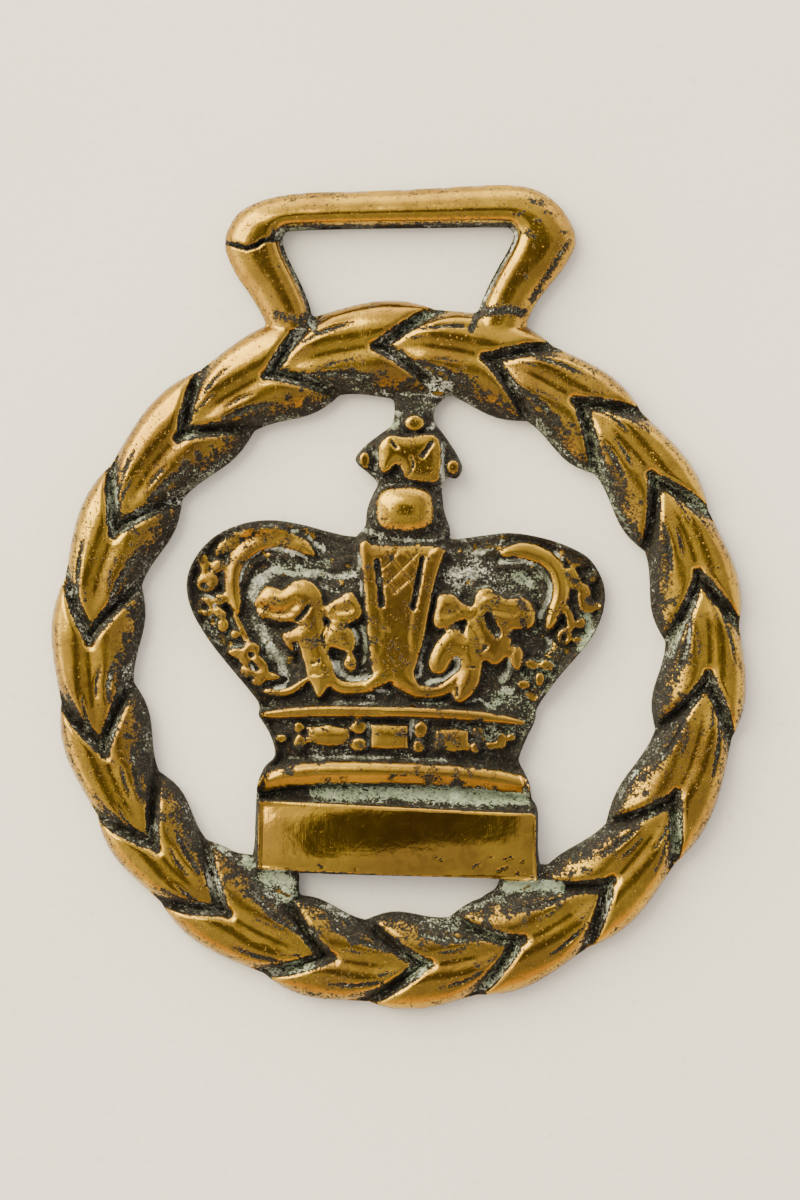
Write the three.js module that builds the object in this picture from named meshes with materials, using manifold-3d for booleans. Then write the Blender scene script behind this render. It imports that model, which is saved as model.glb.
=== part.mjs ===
// A horse brass: a laurel wreath with a strap hanger on top and a crown on a plinth in its middle.
// It is one sand casting, flat on the back, so everything here is joined into one solid.
// Millimetres. The back lies on z = 0, the relief rises along +Z, and the hanger points along +Y.
// The origin is the middle of the wreath. Angles are in degrees, clockwise from the top.
import * as THREE from "three";
import { mergeVertices } from "three/addons/utils/BufferGeometryUtils.js";
import Module from "manifold-3d";

const wasm = await Module();
wasm.setup();

// Heights above the back.
const WEB = 1.7; // sunk ground between the leaves, and the webs that tie the parts together
const FIELD = 1.8; // sunk ground of the crown
const BURIED = FIELD - 0.4; // foot of whatever stands on the crown's ground
const LEAF_CREST = 3.6;
const LEAF_VALLEY = 3.0; // along the stem, where two leaves of a pair meet
const LEAF_BANK = 2.5; // a leaf's edge beside a groove
const LEAF_RIM = 1.4; // a leaf's edge on the outline
const HANGER_TOP = 3.4;
const BAND_TOP = 2.6; // the flat of the arches and of the circlet, under their jewels
const TRIM_TOP = 3.3; // the narrow rolls that edge the arches
const JEWEL_TOP = 3.5;
const CENTRE_ARCH_TOP = 3.8;
const CIRCLET_ROLL_TOP = 3.8;
const BASE_ROLL_TOP = 4.2;
const PLINTH_TOP = 4.0;
const CROSS_TOP = 3.8;
const ORB_TOP = 4.6;

// The wreath. Each pair of leaves springs from the stem; the carver spaced them by eye.
const STEM_RADIUS = 33.9;
const LEAF_SPRINGS = [
  -4, 16.5, 35, 55, 75, 94, 117, 137, 157, 175, 193, 214, 232, 252, 273, 293.5, 315, 335,
];
const ROOT_LEAD = 1; // a pair's root is this far past its spring
const FORK_LEAD = -2.5; // a pair forks this far past the next spring
// A leaf comes out to the rim rimLead past its root; its tip ends tipLead past the next spring,
// and the groove between the two leaves the rim at notchLead.
const OUTER = { side: 1, notch: 37.9, bulge: 0.6, rimLead: 10.8, tipLead: 8.8, notchLead: 10 };
const INNER = { side: -1, notch: 29.2, bulge: 1.1, rimLead: 13.2, tipLead: 10.8, notchLead: 12.4 };
const OVAL = 0.4; // the rim stands out and in by this much round the wreath
const OVAL_LONG_WAY = 345; // where it stands out most
const PAIR_STEPS = 4; // cuts along a pair before the fork, and along each arm after it
const WEB_INSET = 0.3; // the web stands this far back from the leaves' outline
const WEB_STEPS = 3; // points of the web's outline per pair

// The crown leans to the right.
const CROWN_LEAN = 2.5;
const CROWN_FOOT_X = 0.1;
// The left arch swells out more than the right, by these shares of its width and its height.
const SWELL_WIDE = 0.032;
const SWELL_HIGH = 0.02;

const rad = THREE.MathUtils.degToRad;
const { lerp, smoothstep } = THREE.MathUtils;
const vec = ([x, y]) => new THREE.Vector2(x, y);
const onRing = (angle, radius) => [
  radius * Math.sin(rad(angle)),
  radius * Math.cos(rad(angle)),
];

// ---- Solids from three.js geometry ----

function solid(geometry) {
  const bare = new THREE.BufferGeometry();
  bare.setAttribute("position", geometry.getAttribute("position"));
  bare.setIndex(geometry.index);
  const merged = mergeVertices(bare, 1e-4);
  return new wasm.Manifold(
    new wasm.Mesh({
      numProp: 3,
      vertProperties: merged.attributes.position.array,
      triVerts: new Uint32Array(merged.index.array),
    }),
  );
}

const union = (solids) => wasm.Manifold.union(solids);
const aboveBack = (body) => body.trimByPlane([0, 0, 1], 0);

/** Triangles between two cross-sections that have the same number of points. */
function strip(from, to) {
  return from.flatMap((a, j) => {
    const b = from[(j + 1) % from.length];
    const c = to[(j + 1) % to.length];
    return [a, b, to[j], b, c, to[j]];
  });
}

const strips = (sections) => sections.slice(1).flatMap((to, i) => strip(sections[i], to));
const cap = (section) => section.slice(2).flatMap((c, j) => [section[0], section[j + 1], c]);

function solidFrom(corners) {
  const geometry = new THREE.BufferGeometry();
  geometry.setAttribute("position", new THREE.Float32BufferAttribute(corners.flat(), 3));
  geometry.setIndex(corners.map((_, i) => i));
  return solid(geometry);
}

/** A closed solid through a row of cross-sections, which all run round the same way. */
const loft = (sections) =>
  solidFrom([
    ...cap(sections[0].toReversed()),
    ...strips(sections),
    ...cap(sections.at(-1)),
  ]);

/** A flat-topped slab on the back plane with a rounded shoulder all round. */
function slab(shape, top, { shoulder = 0.6, drop = shoulder, steps = 2 } = {}) {
  const geometry = new THREE.ExtrudeGeometry(shape, {
    depth: top - drop,
    bevelThickness: drop,
    bevelSize: shoulder,
    bevelOffset: -shoulder,
    bevelSegments: steps,
    curveSegments: 6,
  });
  return aboveBack(solid(geometry));
}

/** A straight-sided block between two heights, for cutting with. */
function prism(shape, low, high) {
  const geometry = new THREE.ExtrudeGeometry(shape, { depth: high - low, bevelEnabled: false });
  geometry.translate(0, 0, low);
  return solid(geometry);
}

// Across a roll: share of the half width, and share of the way from its edge height to its crest.
const ROUND = [
  [1, 0],
  [0.6, 0.75],
  [0, 1],
  [-0.6, 0.75],
  [-1, 0],
];
const NARROW = [
  [1, 0],
  [0.4, 1],
  [-0.4, 1],
  [-1, 0],
];
const FLAT = [
  [1, 0],
  [0.8, 1],
  [-0.8, 1],
  [-1, 0],
];

/** A roll of metal along a path, tapering to tipShare of its width at both ends. */
function roll(points, halfWidth, top, options = {}) {
  const { edge = FIELD, foot = BURIED, steps = 10, tipShare = 0.35, section = ROUND } = options;
  const path = new THREE.SplineCurve(points.map(vec));
  const sections = [];
  for (let i = 0; i <= steps; i++) {
    const t = i / steps;
    const at = path.getPointAt(t);
    const along = path.getTangentAt(t);
    const width = halfWidth * lerp(tipShare, 1, Math.min(1, 4 * t, 4 * (1 - t)));
    const place = (across, z) => [at.x - along.y * across, at.y + along.x * across, z];
    sections.push([
      place(width, foot),
      ...section.map(([across, rise]) => place(across * width, lerp(edge, top, rise))),
      place(-width, foot),
    ]);
  }
  return loft(sections);
}

/** An oval dome on the ground of the crown. */
function dome([x, y], [halfWidth, halfLength], top, options = {}) {
  const { turn = 0, ground = BURIED, facets = 8 } = options;
  const geometry = new THREE.SphereGeometry(1, facets, facets / 2);
  geometry.rotateX(Math.PI / 2);
  geometry.scale(halfWidth, halfLength, top - ground);
  geometry.rotateZ(-rad(turn));
  geometry.translate(x, y, ground);
  return solid(geometry).trimByPlane([0, 0, 1], ground);
}

const closedShape = (points) => new THREE.Shape(points.map(vec));
const smooth = (points, steps) =>
  new THREE.SplineCurve(points.map(vec)).getPoints(steps).map((p) => [p.x, p.y]);

// ---- The wreath ----

/** Radius of the notches between the leaf tips. */
const notchRadius = (kind, angle) =>
  kind.notch + (kind.side > 0 ? OVAL * Math.cos(2 * rad(angle - OVAL_LONG_WAY)) : 0);

/** A cut across one leaf at an angle, from its near edge by the stem to its far edge. */
function leafCut(kind, spring, next, angle) {
  const fork = next + FORK_LEAD;
  const tip = next + kind.tipLead;
  const forked = Math.max(0, (angle - fork) / (tip - fork));
  const toRim = Math.min(1, (angle - spring - ROOT_LEAD + 0.3) / kind.rimLead);
  const reach = Math.abs(notchRadius(kind, angle) - STEM_RADIUS);
  const swelling = kind.bulge * Math.sin(Math.PI * smoothstep(angle, spring + kind.rimLead, tip + 1));
  const near = reach * forked ** 1.1;
  const far = Math.max(near + 0.15, reach * toRim + swelling);
  const fromRoot = Math.min(1, (angle - spring - ROOT_LEAD + 0.6) / 7);
  const fromTip = Math.min(1, (tip - angle + 0.4) / 7);
  const full = Math.sqrt(fromRoot * fromTip);
  const bank = lerp(WEB, LEAF_BANK, full);
  const edge = lerp(bank, LEAF_RIM, smoothstep(toRim, 0.85, 1));
  const crest = lerp(WEB, LEAF_CREST, full);
  const place = (share, z) => [
    ...onRing(angle, STEM_RADIUS + kind.side * lerp(near, far, share)),
    z,
  ];
  return [
    place(0, 0),
    place(0, lerp(lerp(WEB, LEAF_VALLEY, full), bank, Math.min(1, 4 * forked))),
    place(0.34, crest),
    place(0.72, lerp(edge, crest, 0.76)),
    place(1, edge),
    place(1, 0),
  ];
}

/** Two leaves on one length of stem, which fork into two arms round the root of the next pair. */
function leafPair(spring, next) {
  const root = spring + ROOT_LEAD;
  const fork = next + FORK_LEAD;
  const cuts = [];
  for (let i = 0; i <= PAIR_STEPS; i++) {
    const angle = lerp(root, fork, i / PAIR_STEPS);
    const [foot, ...outer] = leafCut(OUTER, spring, next, angle);
    const [, , ...inner] = leafCut(INNER, spring, next, angle);
    cuts.push([foot, ...outer.toReversed(), ...inner]);
  }
  const arm = (kind) => {
    const sections = [];
    for (let i = 0; i <= PAIR_STEPS; i++) {
      const angle = lerp(fork, next + kind.tipLead, i / PAIR_STEPS);
      const cut = leafCut(kind, spring, next, angle);
      sections.push(kind.side > 0 ? cut.toReversed() : cut);
    }
    return [...strips(sections), ...cap(sections.at(-1))];
  };
  return solidFrom([
    ...cap(cuts[0].toReversed()),
    ...strips(cuts),
    ...arm(OUTER),
    ...arm(INNER),
  ]);
}

const nextSpring = (k) => LEAF_SPRINGS[k + 1] ?? LEAF_SPRINGS[0] + 360;

/** The web's outline radius: notches where the grooves run out, bulges where the leaves do. */
function webOutline(kind) {
  const points = [];
  LEAF_SPRINGS.forEach((spring, k) => {
    const start = spring + kind.notchLead;
    const end = nextSpring(k) + kind.notchLead;
    for (let i = 0; i < WEB_STEPS; i++) {
      const angle = lerp(start, end, i / WEB_STEPS);
      const swelling = kind.bulge * Math.sin((Math.PI * i) / WEB_STEPS);
      const inset = WEB_INSET * Math.min(1, i);
      points.push(onRing(angle, notchRadius(kind, angle) + kind.side * (swelling - inset)));
    }
  });
  return points;
}

function wreath() {
  const ring = closedShape(webOutline(OUTER));
  ring.holes.push(closedShape(webOutline(INNER).toReversed()));
  const web = slab(ring, WEB, { shoulder: 0.3, steps: 1 });
  return union([web, ...LEAF_SPRINGS.map((spring, k) => leafPair(spring, nextSpring(k)))]);
}

// ---- The hanger: a strap loop of rounded bar, its top a little higher on the right ----

const STRAP_FACE = [
  [-11.9, 46.6],
  [11.2, 47],
]; // the straight flat the strap bears on, from left to right
const strapFace = (share) => [
  lerp(STRAP_FACE[0][0], STRAP_FACE[1][0], share),
  lerp(STRAP_FACE[0][1], STRAP_FACE[1][1], share),
];

function hanger() {
  // Cuts across the bar from its outer to its inner edge, round from the left foot to the right.
  const cuts = [
    [[-13.6, 36], [-9.4, 36]],
    [[-15.6, 38.4], [-10, 38.6]],
    [[-17.4, 40.9], [-10.9, 40.9]],
    [[-18.9, 43.8], [-12, 43.2]],
    [[-19.1, 45.6], [-12.7, 45.1]],
    [[-18.3, 47.8], [-12.9, 46]],
    [[-16.6, 49.3], [-12.6, 46.45]],
    [[-13.4, 50.4], strapFace(0)],
    [[-9, 50.8], strapFace(0.15)],
    [[0, 51], strapFace(0.5)],
    [[8, 51.5], strapFace(0.85)],
    [[12.2, 51.6], strapFace(1)],
    [[15.5, 50.9], [12.2, 46.85]],
    [[18, 48.6], [12.8, 46.3]],
    [[19.4, 46], [12.6, 45.3]],
    [[19.2, 44], [11.7, 43.7]],
    [[17.2, 41.4], [10.3, 41.5]],
    [[15.5, 39], [9, 38.8]],
    [[13.6, 36], [8, 36]],
  ];
  // Across the bar: share of its width from the outer edge, and height.
  const across = [
    [0, 0],
    [0, 1.3],
    [0.12, 2.5],
    [0.38, HANGER_TOP],
    [0.76, HANGER_TOP - 0.5],
    [1, 1.3],
    [1, 0],
  ];
  return loft(
    cuts.map(([outer, inner]) =>
      across.map(([share, z]) => [
        lerp(outer[0], inner[0], share),
        lerp(outer[1], inner[1], share),
        z,
      ]),
    ),
  );
}

// ---- The crown, upright in its own frame ----

// Half of the crown's outline, from its shoulder by the orb down to the end of the circlet.
const CROWN_LOBE = [
  [4.6, 12.7],
  [8, 13],
  [11.2, 13.7],
  [14, 13.8],
  [16.8, 13.3],
  [19.6, 12.2],
  [21.6, 10.7],
  [22.7, 8.7],
  [22.9, 6.4],
  [22.1, 3.9],
  [20.2, 1.1],
  [17.7, -2],
  [15.3, -5.5],
];
// The rest of it: the circlet's upper roll, its waist, and the base roll.
const CROWN_WAIST = [
  [15.2, -6.7],
  [14.1, -8.8],
  [13.4, -11.2],
  [14.6, -12.9],
  [15.2, -14.6],
  [15, -16.8],
];

/** A point of the upright crown, leant over to where it stands in the wreath. */
function lean([u, v]) {
  const turn = rad(CROWN_LEAN);
  return [
    CROWN_FOOT_X + u * Math.cos(turn) + v * Math.sin(turn),
    v * Math.cos(turn) - u * Math.sin(turn),
  ];
}

function swell(side, [u, v]) {
  const wide = SWELL_WIDE * smoothstep(v, -5, 1);
  const high = SWELL_HIGH * smoothstep(v, 2, 10);
  return [side * u * (1 - side * wide), v * (1 - side * high)];
}

function crownBody() {
  const half = (side) => [
    ...smooth(CROWN_LOBE.map((p) => swell(side, p)), 20),
    ...smooth(CROWN_WAIST.map((p) => swell(side, p)), 8),
  ];
  const outline = [...half(-1), ...half(1).toReversed()];
  return slab(closedShape(outline.map(lean)), FIELD, { shoulder: 0.5 });
}

/** The flat band of a side arch, which carries the pearls. */
function archBand(side) {
  const line = [
    [14.6, -3.6],
    [17.6, 0.4],
    [20.2, 4],
    [20.9, 7.4],
    [19.6, 10.4],
    [16.6, 12.2],
    [13, 12.7],
    [8, 12],
  ];
  return roll(line.map((p) => lean(swell(side, p))), 1.9, BAND_TOP, {
    foot: 0,
    edge: FIELD - 0.3,
    steps: 12,
    tipShare: 0.6,
    section: FLAT,
  });
}

/** The upright arch in the middle: two edge rolls with a panel between them, flaring at the foot. */
function centreArch() {
  const outline = [
    [-4.8, 12.3],
    [-3.8, 6],
    [-3.4, 0.6],
    [-2.8, -1.4],
    [-0.4, -2.6],
    [1.5, -1.6],
    [2.1, 0.6],
    [3, 6],
    [4.5, 12],
  ];
  const leftSlit = [
    [-3, 11.6],
    [-2.1, 11.6],
    [-2.2, 8],
    [-2.3, 5.4],
    [-2.6, 8],
  ];
  const rightSlit = [
    [1.6, 11.2],
    [2.4, 11.2],
    [1.9, 8],
    [1.3, 5.4],
    [1.5, 8],
  ];
  const slit = (points) => prism(closedShape(points.map(lean)), BAND_TOP, 2 * CENTRE_ARCH_TOP);
  return slab(closedShape(outline.map(lean)), CENTRE_ARCH_TOP, { shoulder: 0.7 })
    .subtract(slit(leftSlit))
    .subtract(slit(rightSlit));
}

/** The cast ornament on the crown's sunk ground. The carver cut its two sides by hand, unalike. */
function ornament() {
  const leaf = (points) => slab(closedShape(points), JEWEL_TOP, { shoulder: 0.45, steps: 2 });
  const leftFleur = [
    [-15.6, 5.8],
    [-14.6, 7.3],
    [-13.7, 7.5],
    [-12.7, 7.1],
    [-11.6, 7.8],
    [-10.4, 8.1],
    [-9.1, 7.4],
    [-8.5, 6],
    [-8.6, 4.6],
    [-8.1, 2.8],
    [-7.1, 3.4],
    [-5.7, 3.2],
    [-4.9, 1.8],
    [-5.3, 0.4],
    [-7.3, 1],
    [-7.8, 0],
    [-7.2, -1.8],
    [-8, -3.2],
    [-8.8, -4],
    [-9.7, -2.6],
    [-10.3, -0.6],
    [-11, 1.2],
    [-12.1, 1.1],
    [-12.8, 2.2],
    [-11, 3],
    [-11, 4],
    [-13.3, 3.9],
    [-14.9, 4.5],
  ];
  const rightFleur = [
    [8.4, 6.1],
    [9, 7.1],
    [10.1, 7.2],
    [11.5, 6],
    [13.3, 6.3],
    [14.4, 5.4],
    [14.6, 3.8],
    [13.8, 3],
    [12.1, 2.9],
    [12, 1.2],
    [11.3, -0.3],
    [10.3, -0.9],
    [9.2, -0.4],
    [8.8, -2],
    [8.5, -3.4],
    [7.2, -4.7],
    [6.3, -4],
    [6.8, -1.8],
    [6.3, 0],
    [4.7, -1.8],
    [3.5, -1.3],
    [3.8, 0.4],
    [5, 2.2],
    [6.3, 2.8],
    [7.1, 2],
    [7.9, 4],
  ];
  const leftLobe = [
    [-8, 4.9],
    [-6.5, 6.2],
    [-5.4, 6.8],
    [-4.6, 5.9],
    [-4.2, 4.5],
    [-5.9, 3.7],
    [-7.6, 3.9],
  ];
  const rightLobe = [
    [4.5, 6.4],
    [5.9, 6.5],
    [7.2, 5.4],
    [7.9, 4.9],
    [6.4, 3.9],
    [5.2, 3.1],
    [4, 3.3],
    [4, 5],
  ];
  const smallLobe = [
    [12.6, 1],
    [13.3, 0.6],
    [13.1, -1.2],
    [12.2, -0.2],
  ];
  const trims = [
    [[-9.7, 11.2], [-11.7, 12.2], [-14.2, 12.6], [-16.5, 11.6], [-18, 9.7], [-18.2, 7], [-17.7, 5]],
    [[11.6, 11.1], [14.7, 11.1], [16.8, 9.8], [17.7, 7.4], [17.2, 5], [16.3, 3.1]],
  ].map((points) => roll(points, 0.65, TRIM_TOP, { steps: 9, section: NARROW }));
  const swags = [
    [[-14.8, -3.8], [-13, -4.1], [-11.2, -3.5], [-9.6, -2.5]],
    [[-7.6, -2.4], [-6.4, -3.3], [-4.9, -3.5], [-3.3, -3.3], [-1.2, -2.4], [0.6, -3.3], [3.1, -4],
      [5, -3.6], [6.6, -2.6]],
  ].map((points) => roll(points, 0.5, TRIM_TOP, { steps: 9, tipShare: 0.8, section: NARROW }));
  const pearls = [
    [[-14.2, 13.6], [0.9, 0.25], 0],
    [[-16.6, 13.4], [0.5, 0.3], -30],
    [[-18.9, 12.1], [1.25, 0.6], -36],
    [[-21.4, 10.1], [0.4, 0.65], 0],
    [[-19.8, 9.9], [0.6, 0.5], 0],
    [[-20.9, 8.1], [1.1, 1], -20],
    [[-21.1, 5.4], [0.8, 0.9], 0],
    [[-19.6, 6.1], [0.5, 0.4], 0],
    [[-19.6, 3.8], [0.7, 0.8], 0],
    [[-18, 2.3], [0.35, 0.35], 0],
    [[-16.3, 0.2], [1, 1.1], 20],
    [[-16.5, -1.8], [0.8, 0.7], 0],
    [[-14.6, -2.2], [0.95, 0.3], 0],
    [[-5.2, -0.8], [0.4, 0.7], -20],
    [[19.2, 10.7], [1.2, 0.55], 32],
    [[19.2, 8.4], [0.6, 1], 0],
    [[20.5, 6.1], [1, 1.4], 0],
    [[18.7, 4.1], [0.3, 0.8], 0],
    [[18, 2], [0.75, 0.8], 0],
    [[19.7, 1.6], [0.35, 0.35], 0],
    [[16.4, -0.6], [0.8, 0.6], 0],
    [[14.6, -2.6], [0.8, 0.6], 0],
  ].map(([place, size, turn]) => dome(place, size, JEWEL_TOP, { turn }));
  const leaves = [leftFleur, rightFleur, leftLobe, rightLobe, smallLobe].map(leaf);
  return union([...leaves, ...trims, ...swags, ...pearls]);
}

/** The circlet: a roll above, a jewelled band, and the heavy base roll below. */
function circlet() {
  const bow = (reach, end, rise) => [
    [-reach, end],
    [-0.65 * reach, end + 0.7 * rise],
    [0, end + rise],
    [0.65 * reach, end + 0.7 * rise],
    [reach, end],
  ].map(lean);
  const band = slab(
    closedShape([
      [-14.6, -7],
      [-13.4, -11],
      [-13.9, -12.4],
      [13.9, -12.4],
      [13.4, -11],
      [14.6, -7],
    ].map(lean)),
    BAND_TOP,
  );
  const jewels = [
    [[-8, -8.5], [2.3, 1.25]],
    [[6, -9.2], [1.9, 1.3]],
    [[-4.3, -7.6], [0.75, 0.7]],
    [[-4.4, -9.6], [0.75, 0.65]],
    [[2.5, -8.1], [0.65, 0.75]],
    [[2.3, -10.1], [0.65, 0.6]],
    [[-10.9, -7.3], [0.6, 0.5]],
    [[-10.9, -9.2], [0.6, 0.65]],
    [[9, -8.3], [0.6, 0.6]],
    [[8.8, -10.3], [0.6, 0.5]],
  ].map(([place, size]) => dome(lean(place), size, JEWEL_TOP, { ground: BAND_TOP - 0.4 }));
  const table = slab(
    closedShape([
      [-2.8, -7.5],
      [-2.8, -10.1],
      [1, -10.3],
      [1, -7.7],
    ].map(lean)),
    JEWEL_TOP,
    { shoulder: 0.3 },
  );
  return [
    band,
    ...jewels,
    table,
    roll(bow(15.1, -6.7, 0.7), 0.75, CIRCLET_ROLL_TOP, { foot: 0, edge: BAND_TOP, steps: 10 }),
    roll(bow(15, -14.5, 1.7), 1.4, BASE_ROLL_TOP, { foot: 0, steps: 10, tipShare: 0.6 }),
  ];
}

function plinth() {
  return slab(
    closedShape([
      [-14.7, -16.5],
      [-14.6, -24],
      [16, -24],
      [15.6, -16.3],
    ].map(lean)),
    PLINTH_TOP,
    { shoulder: 0.4 },
  );
}

/** The orb and its cross, on a web that runs up into the wreath. */
function finial() {
  const webOutline = [
    [-4.6, 12.2],
    [-3.9, 14.6],
    [-4, 16.6],
    [-3.1, 18.8],
    [-4.4, 20],
    [-5.7, 21.2],
    [-5, 22.8],
    [-3, 24.6],
    [-1.9, 26],
    [-2, 29.4],
    [3, 29.4],
    [2.8, 26],
    [4.3, 23.9],
    [5.9, 21.4],
    [5.9, 20],
    [4.3, 19.2],
    [4, 16.8],
    [4.3, 12.2],
  ];
  const crossOutline = [
    [-3, 19.6],
    [-3.1, 22.6],
    [-1.6, 23.9],
    [1, 23.5],
    [3.2, 23.8],
    [3.8, 21.6],
    [3.5, 19.2],
    [1.2, 19],
    [-0.8, 19.8],
    [-3, 19.6],
  ];
  return [
    slab(closedShape(smooth(webOutline.map(lean), 44)), FIELD, { shoulder: 0.5, steps: 1 }),
    slab(closedShape(smooth(crossOutline.map(lean), 20)), CROSS_TOP, { shoulder: 0.6 }),
    dome(lean([0.2, 15.8]), [3.3, 2.9], ORB_TOP, { facets: 12 }),
    dome(lean([0.5, 25.4]), [0.95, 0.85], JEWEL_TOP),
    dome(lean([-4.7, 21.3]), [0.7, 0.95], JEWEL_TOP - 0.3),
    dome(lean([4.8, 20.7]), [0.7, 0.8], JEWEL_TOP - 0.3),
  ];
}

function crown() {
  const parts = [
    crownBody(),
    archBand(-1),
    archBand(1),
    centreArch(),
    ...circlet(),
    plinth(),
    ...finial(),
  ];
  return union(parts);
}

// ---- Webs left by the mould, where the plinth's corners meet the wreath ----

function cornerWebs() {
  const left = [
    [-18.2, -22],
    [-15, -22.6],
    [-11.2, -23.6],
    [-10.9, -26.2],
    [-14, -28],
    [-18.6, -24],
  ];
  const right = [
    [14.6, -22.9],
    [16.4, -23],
    [18, -22.2],
    [19, -25],
    [12, -28],
    [10.6, -26],
    [11.2, -24.2],
  ];
  return [left, right].map((points) => slab(closedShape(points), WEB, { shoulder: 0.3 }));
}

// ---- The casting ----

function geometryOf(body) {
  const { vertProperties, triVerts } = body.getMesh();
  const geometry = new THREE.BufferGeometry();
  geometry.setAttribute("position", new THREE.BufferAttribute(vertProperties, 3));
  geometry.setIndex(new THREE.BufferAttribute(triVerts, 1));
  geometry.computeVertexNormals();
  return geometry;
}

const casting = union([wreath(), hanger(), crown(), ornament(), ...cornerWebs()]);

const brass = new THREE.MeshStandardMaterial({
  name: "brass",
  color: new THREE.Color(0.72, 0.5, 0.2),
  roughness: 0.35,
  metalness: 1,
});
const horseBrass = new THREE.Mesh(geometryOf(casting), brass);
horseBrass.name = "horse_brass";

const part = new THREE.Group();
part.add(horseBrass);
export default part;
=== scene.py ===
import math

import bpy
import numpy as np
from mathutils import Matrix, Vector
from mathutils.geometry import tessellate_polygon


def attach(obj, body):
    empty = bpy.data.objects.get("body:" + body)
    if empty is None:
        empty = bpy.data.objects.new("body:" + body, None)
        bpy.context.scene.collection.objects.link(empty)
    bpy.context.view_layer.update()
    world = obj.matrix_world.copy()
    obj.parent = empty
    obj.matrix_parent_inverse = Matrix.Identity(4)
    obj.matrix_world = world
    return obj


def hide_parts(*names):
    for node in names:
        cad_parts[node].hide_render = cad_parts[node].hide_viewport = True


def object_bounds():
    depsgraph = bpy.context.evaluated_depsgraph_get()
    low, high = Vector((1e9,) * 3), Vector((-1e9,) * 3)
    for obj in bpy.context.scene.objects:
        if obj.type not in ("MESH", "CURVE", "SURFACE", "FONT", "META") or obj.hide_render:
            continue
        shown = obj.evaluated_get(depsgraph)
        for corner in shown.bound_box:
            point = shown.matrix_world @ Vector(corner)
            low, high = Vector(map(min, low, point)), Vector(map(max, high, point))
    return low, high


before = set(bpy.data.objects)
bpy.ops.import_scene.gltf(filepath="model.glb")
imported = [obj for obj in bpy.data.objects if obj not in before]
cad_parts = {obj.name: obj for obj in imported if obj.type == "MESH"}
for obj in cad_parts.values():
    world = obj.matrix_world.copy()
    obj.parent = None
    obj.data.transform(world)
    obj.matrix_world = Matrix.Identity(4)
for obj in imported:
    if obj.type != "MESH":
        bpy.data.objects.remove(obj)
cad_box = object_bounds()

# ---- The laurel wreath ----
# A ring of eighteen pairs of laurel leaves, each pair forking round the root of the next. It is
# the body of the one brass sand casting: modelled in wax, moulded in sand, then filed and polished.
# All carving on the casting is raised on one fine board of points, in millimetres above the back.

STEP = 0.21  # spacing of the board's points, mm
MM = 0.001
board_x = np.arange(cad_box[0][0] / MM - 0.5, cad_box[1][0] / MM + 0.7, STEP)
board_y = np.arange(cad_box[0][1] / MM - 0.5, cad_box[1][1] / MM + 0.7, STEP)
X, Y = np.meshgrid(board_x, board_y)
FAR_OFF = -9.0  # depth given to points out of a form's reach, mm
WEB = 1.5  # height of the sunk ground between leaves
PLAN_EDGE = 1.05  # height of the relief where it drops to its side wall

bearing = np.degrees(np.arctan2(X, Y)) % 360.0  # clockwise from the hanger
radius = np.hypot(X, Y)


def window(points, pad):
    """The part of the board round some points."""
    points = np.asarray(points)
    low = points.min(axis=0) - pad
    high = points.max(axis=0) + pad
    rows = slice(*np.searchsorted(board_y, (low[1], high[1])))
    columns = slice(*np.searchsorted(board_x, (low[0], high[0])))
    return rows, columns


def curve(points, closed=True, parts=5):
    """A smooth curve through given points."""
    points = np.asarray(points, float)
    if closed:
        ring = np.vstack((points[-1:], points, points[:2]))
    else:
        ring = np.vstack((2 * points[0] - points[1], points, 2 * points[-1] - points[-2]))
    t = np.linspace(0, 1, parts, endpoint=False)[:, None]
    made = []
    for a, b, c, d in zip(ring, ring[1:], ring[2:], ring[3:]):
        bend = (2 * a - 5 * b + 4 * c - d) * t**2 + (3 * b - a - 3 * c + d) * t**3
        made.append(0.5 * (2 * b + (c - a) * t + bend))
    if not closed:
        made.append(points[-1:])
    return np.vstack(made)


def line_distance(path, px, py):
    """Distance from points to an open line, and how far along it the nearest point is."""
    best = np.full(px.shape, 1e9)
    share = np.zeros(px.shape)
    count = len(path) - 1
    for k in range(count):
        (ax, ay), (bx, by) = path[k], path[k + 1]
        ex, ey = bx - ax, by - ay
        t = np.clip(((px - ax) * ex + (py - ay) * ey) / (ex * ex + ey * ey + 1e-12), 0, 1)
        gap = (px - ax - t * ex) ** 2 + (py - ay - t * ey) ** 2
        nearer = gap < best
        best = np.where(nearer, gap, best)
        share = np.where(nearer, (k + t) / count, share)
    return np.sqrt(best), share


def near_line(path, reach):
    """The part of the board near a line, its distance from the line and the share along it."""
    spot = window(path, reach)
    gap, share = line_distance(path, X[spot], Y[spot])
    return spot, gap, share


def inside(outline, pad=1.5):
    """How far in mm the board's points lie inside a closed outline; negative up to pad outside it."""
    outline = np.asarray(outline)
    depth = np.full(X.shape, FAR_OFF)
    spot = window(outline, pad)
    px, py = X[spot], Y[spot]
    gap, _ = line_distance(np.vstack((outline, outline[:1])), px, py)
    crossings = np.zeros(px.shape, int)
    for (ax, ay), (bx, by) in zip(outline, np.roll(outline, -1, axis=0)):
        spans = (ay > py) != (by > py)
        crossings += spans & (px < (bx - ax) * (py - ay) / (by - ay + 1e-12) + ax)
    depth[spot] = np.where(crossings % 2 == 1, gap, -gap)
    return depth


def bank(depth, width):
    """The rise of a rounded bank: 0 at the outline, 1 once in by the width."""
    t = np.clip(depth / width, 0, 1)
    return np.sqrt(1 - (1 - t) ** 2)


def ease(t):
    """From 0 to 1 with a soft start and a soft end."""
    t = np.clip(t, 0, 1)
    return t * t * (3 - 2 * t)


def blended_max(a, b, soft):
    """The higher of two surfaces, with a fillet where they meet."""
    return np.maximum(a, b) + np.clip(soft - abs(a - b), 0, None) ** 2 / (4 * soft)


def blended_min(a, b, soft):
    """The lower of two surfaces, with the edge where they meet rounded over."""
    return -blended_max(-a, -b, soft)


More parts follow.
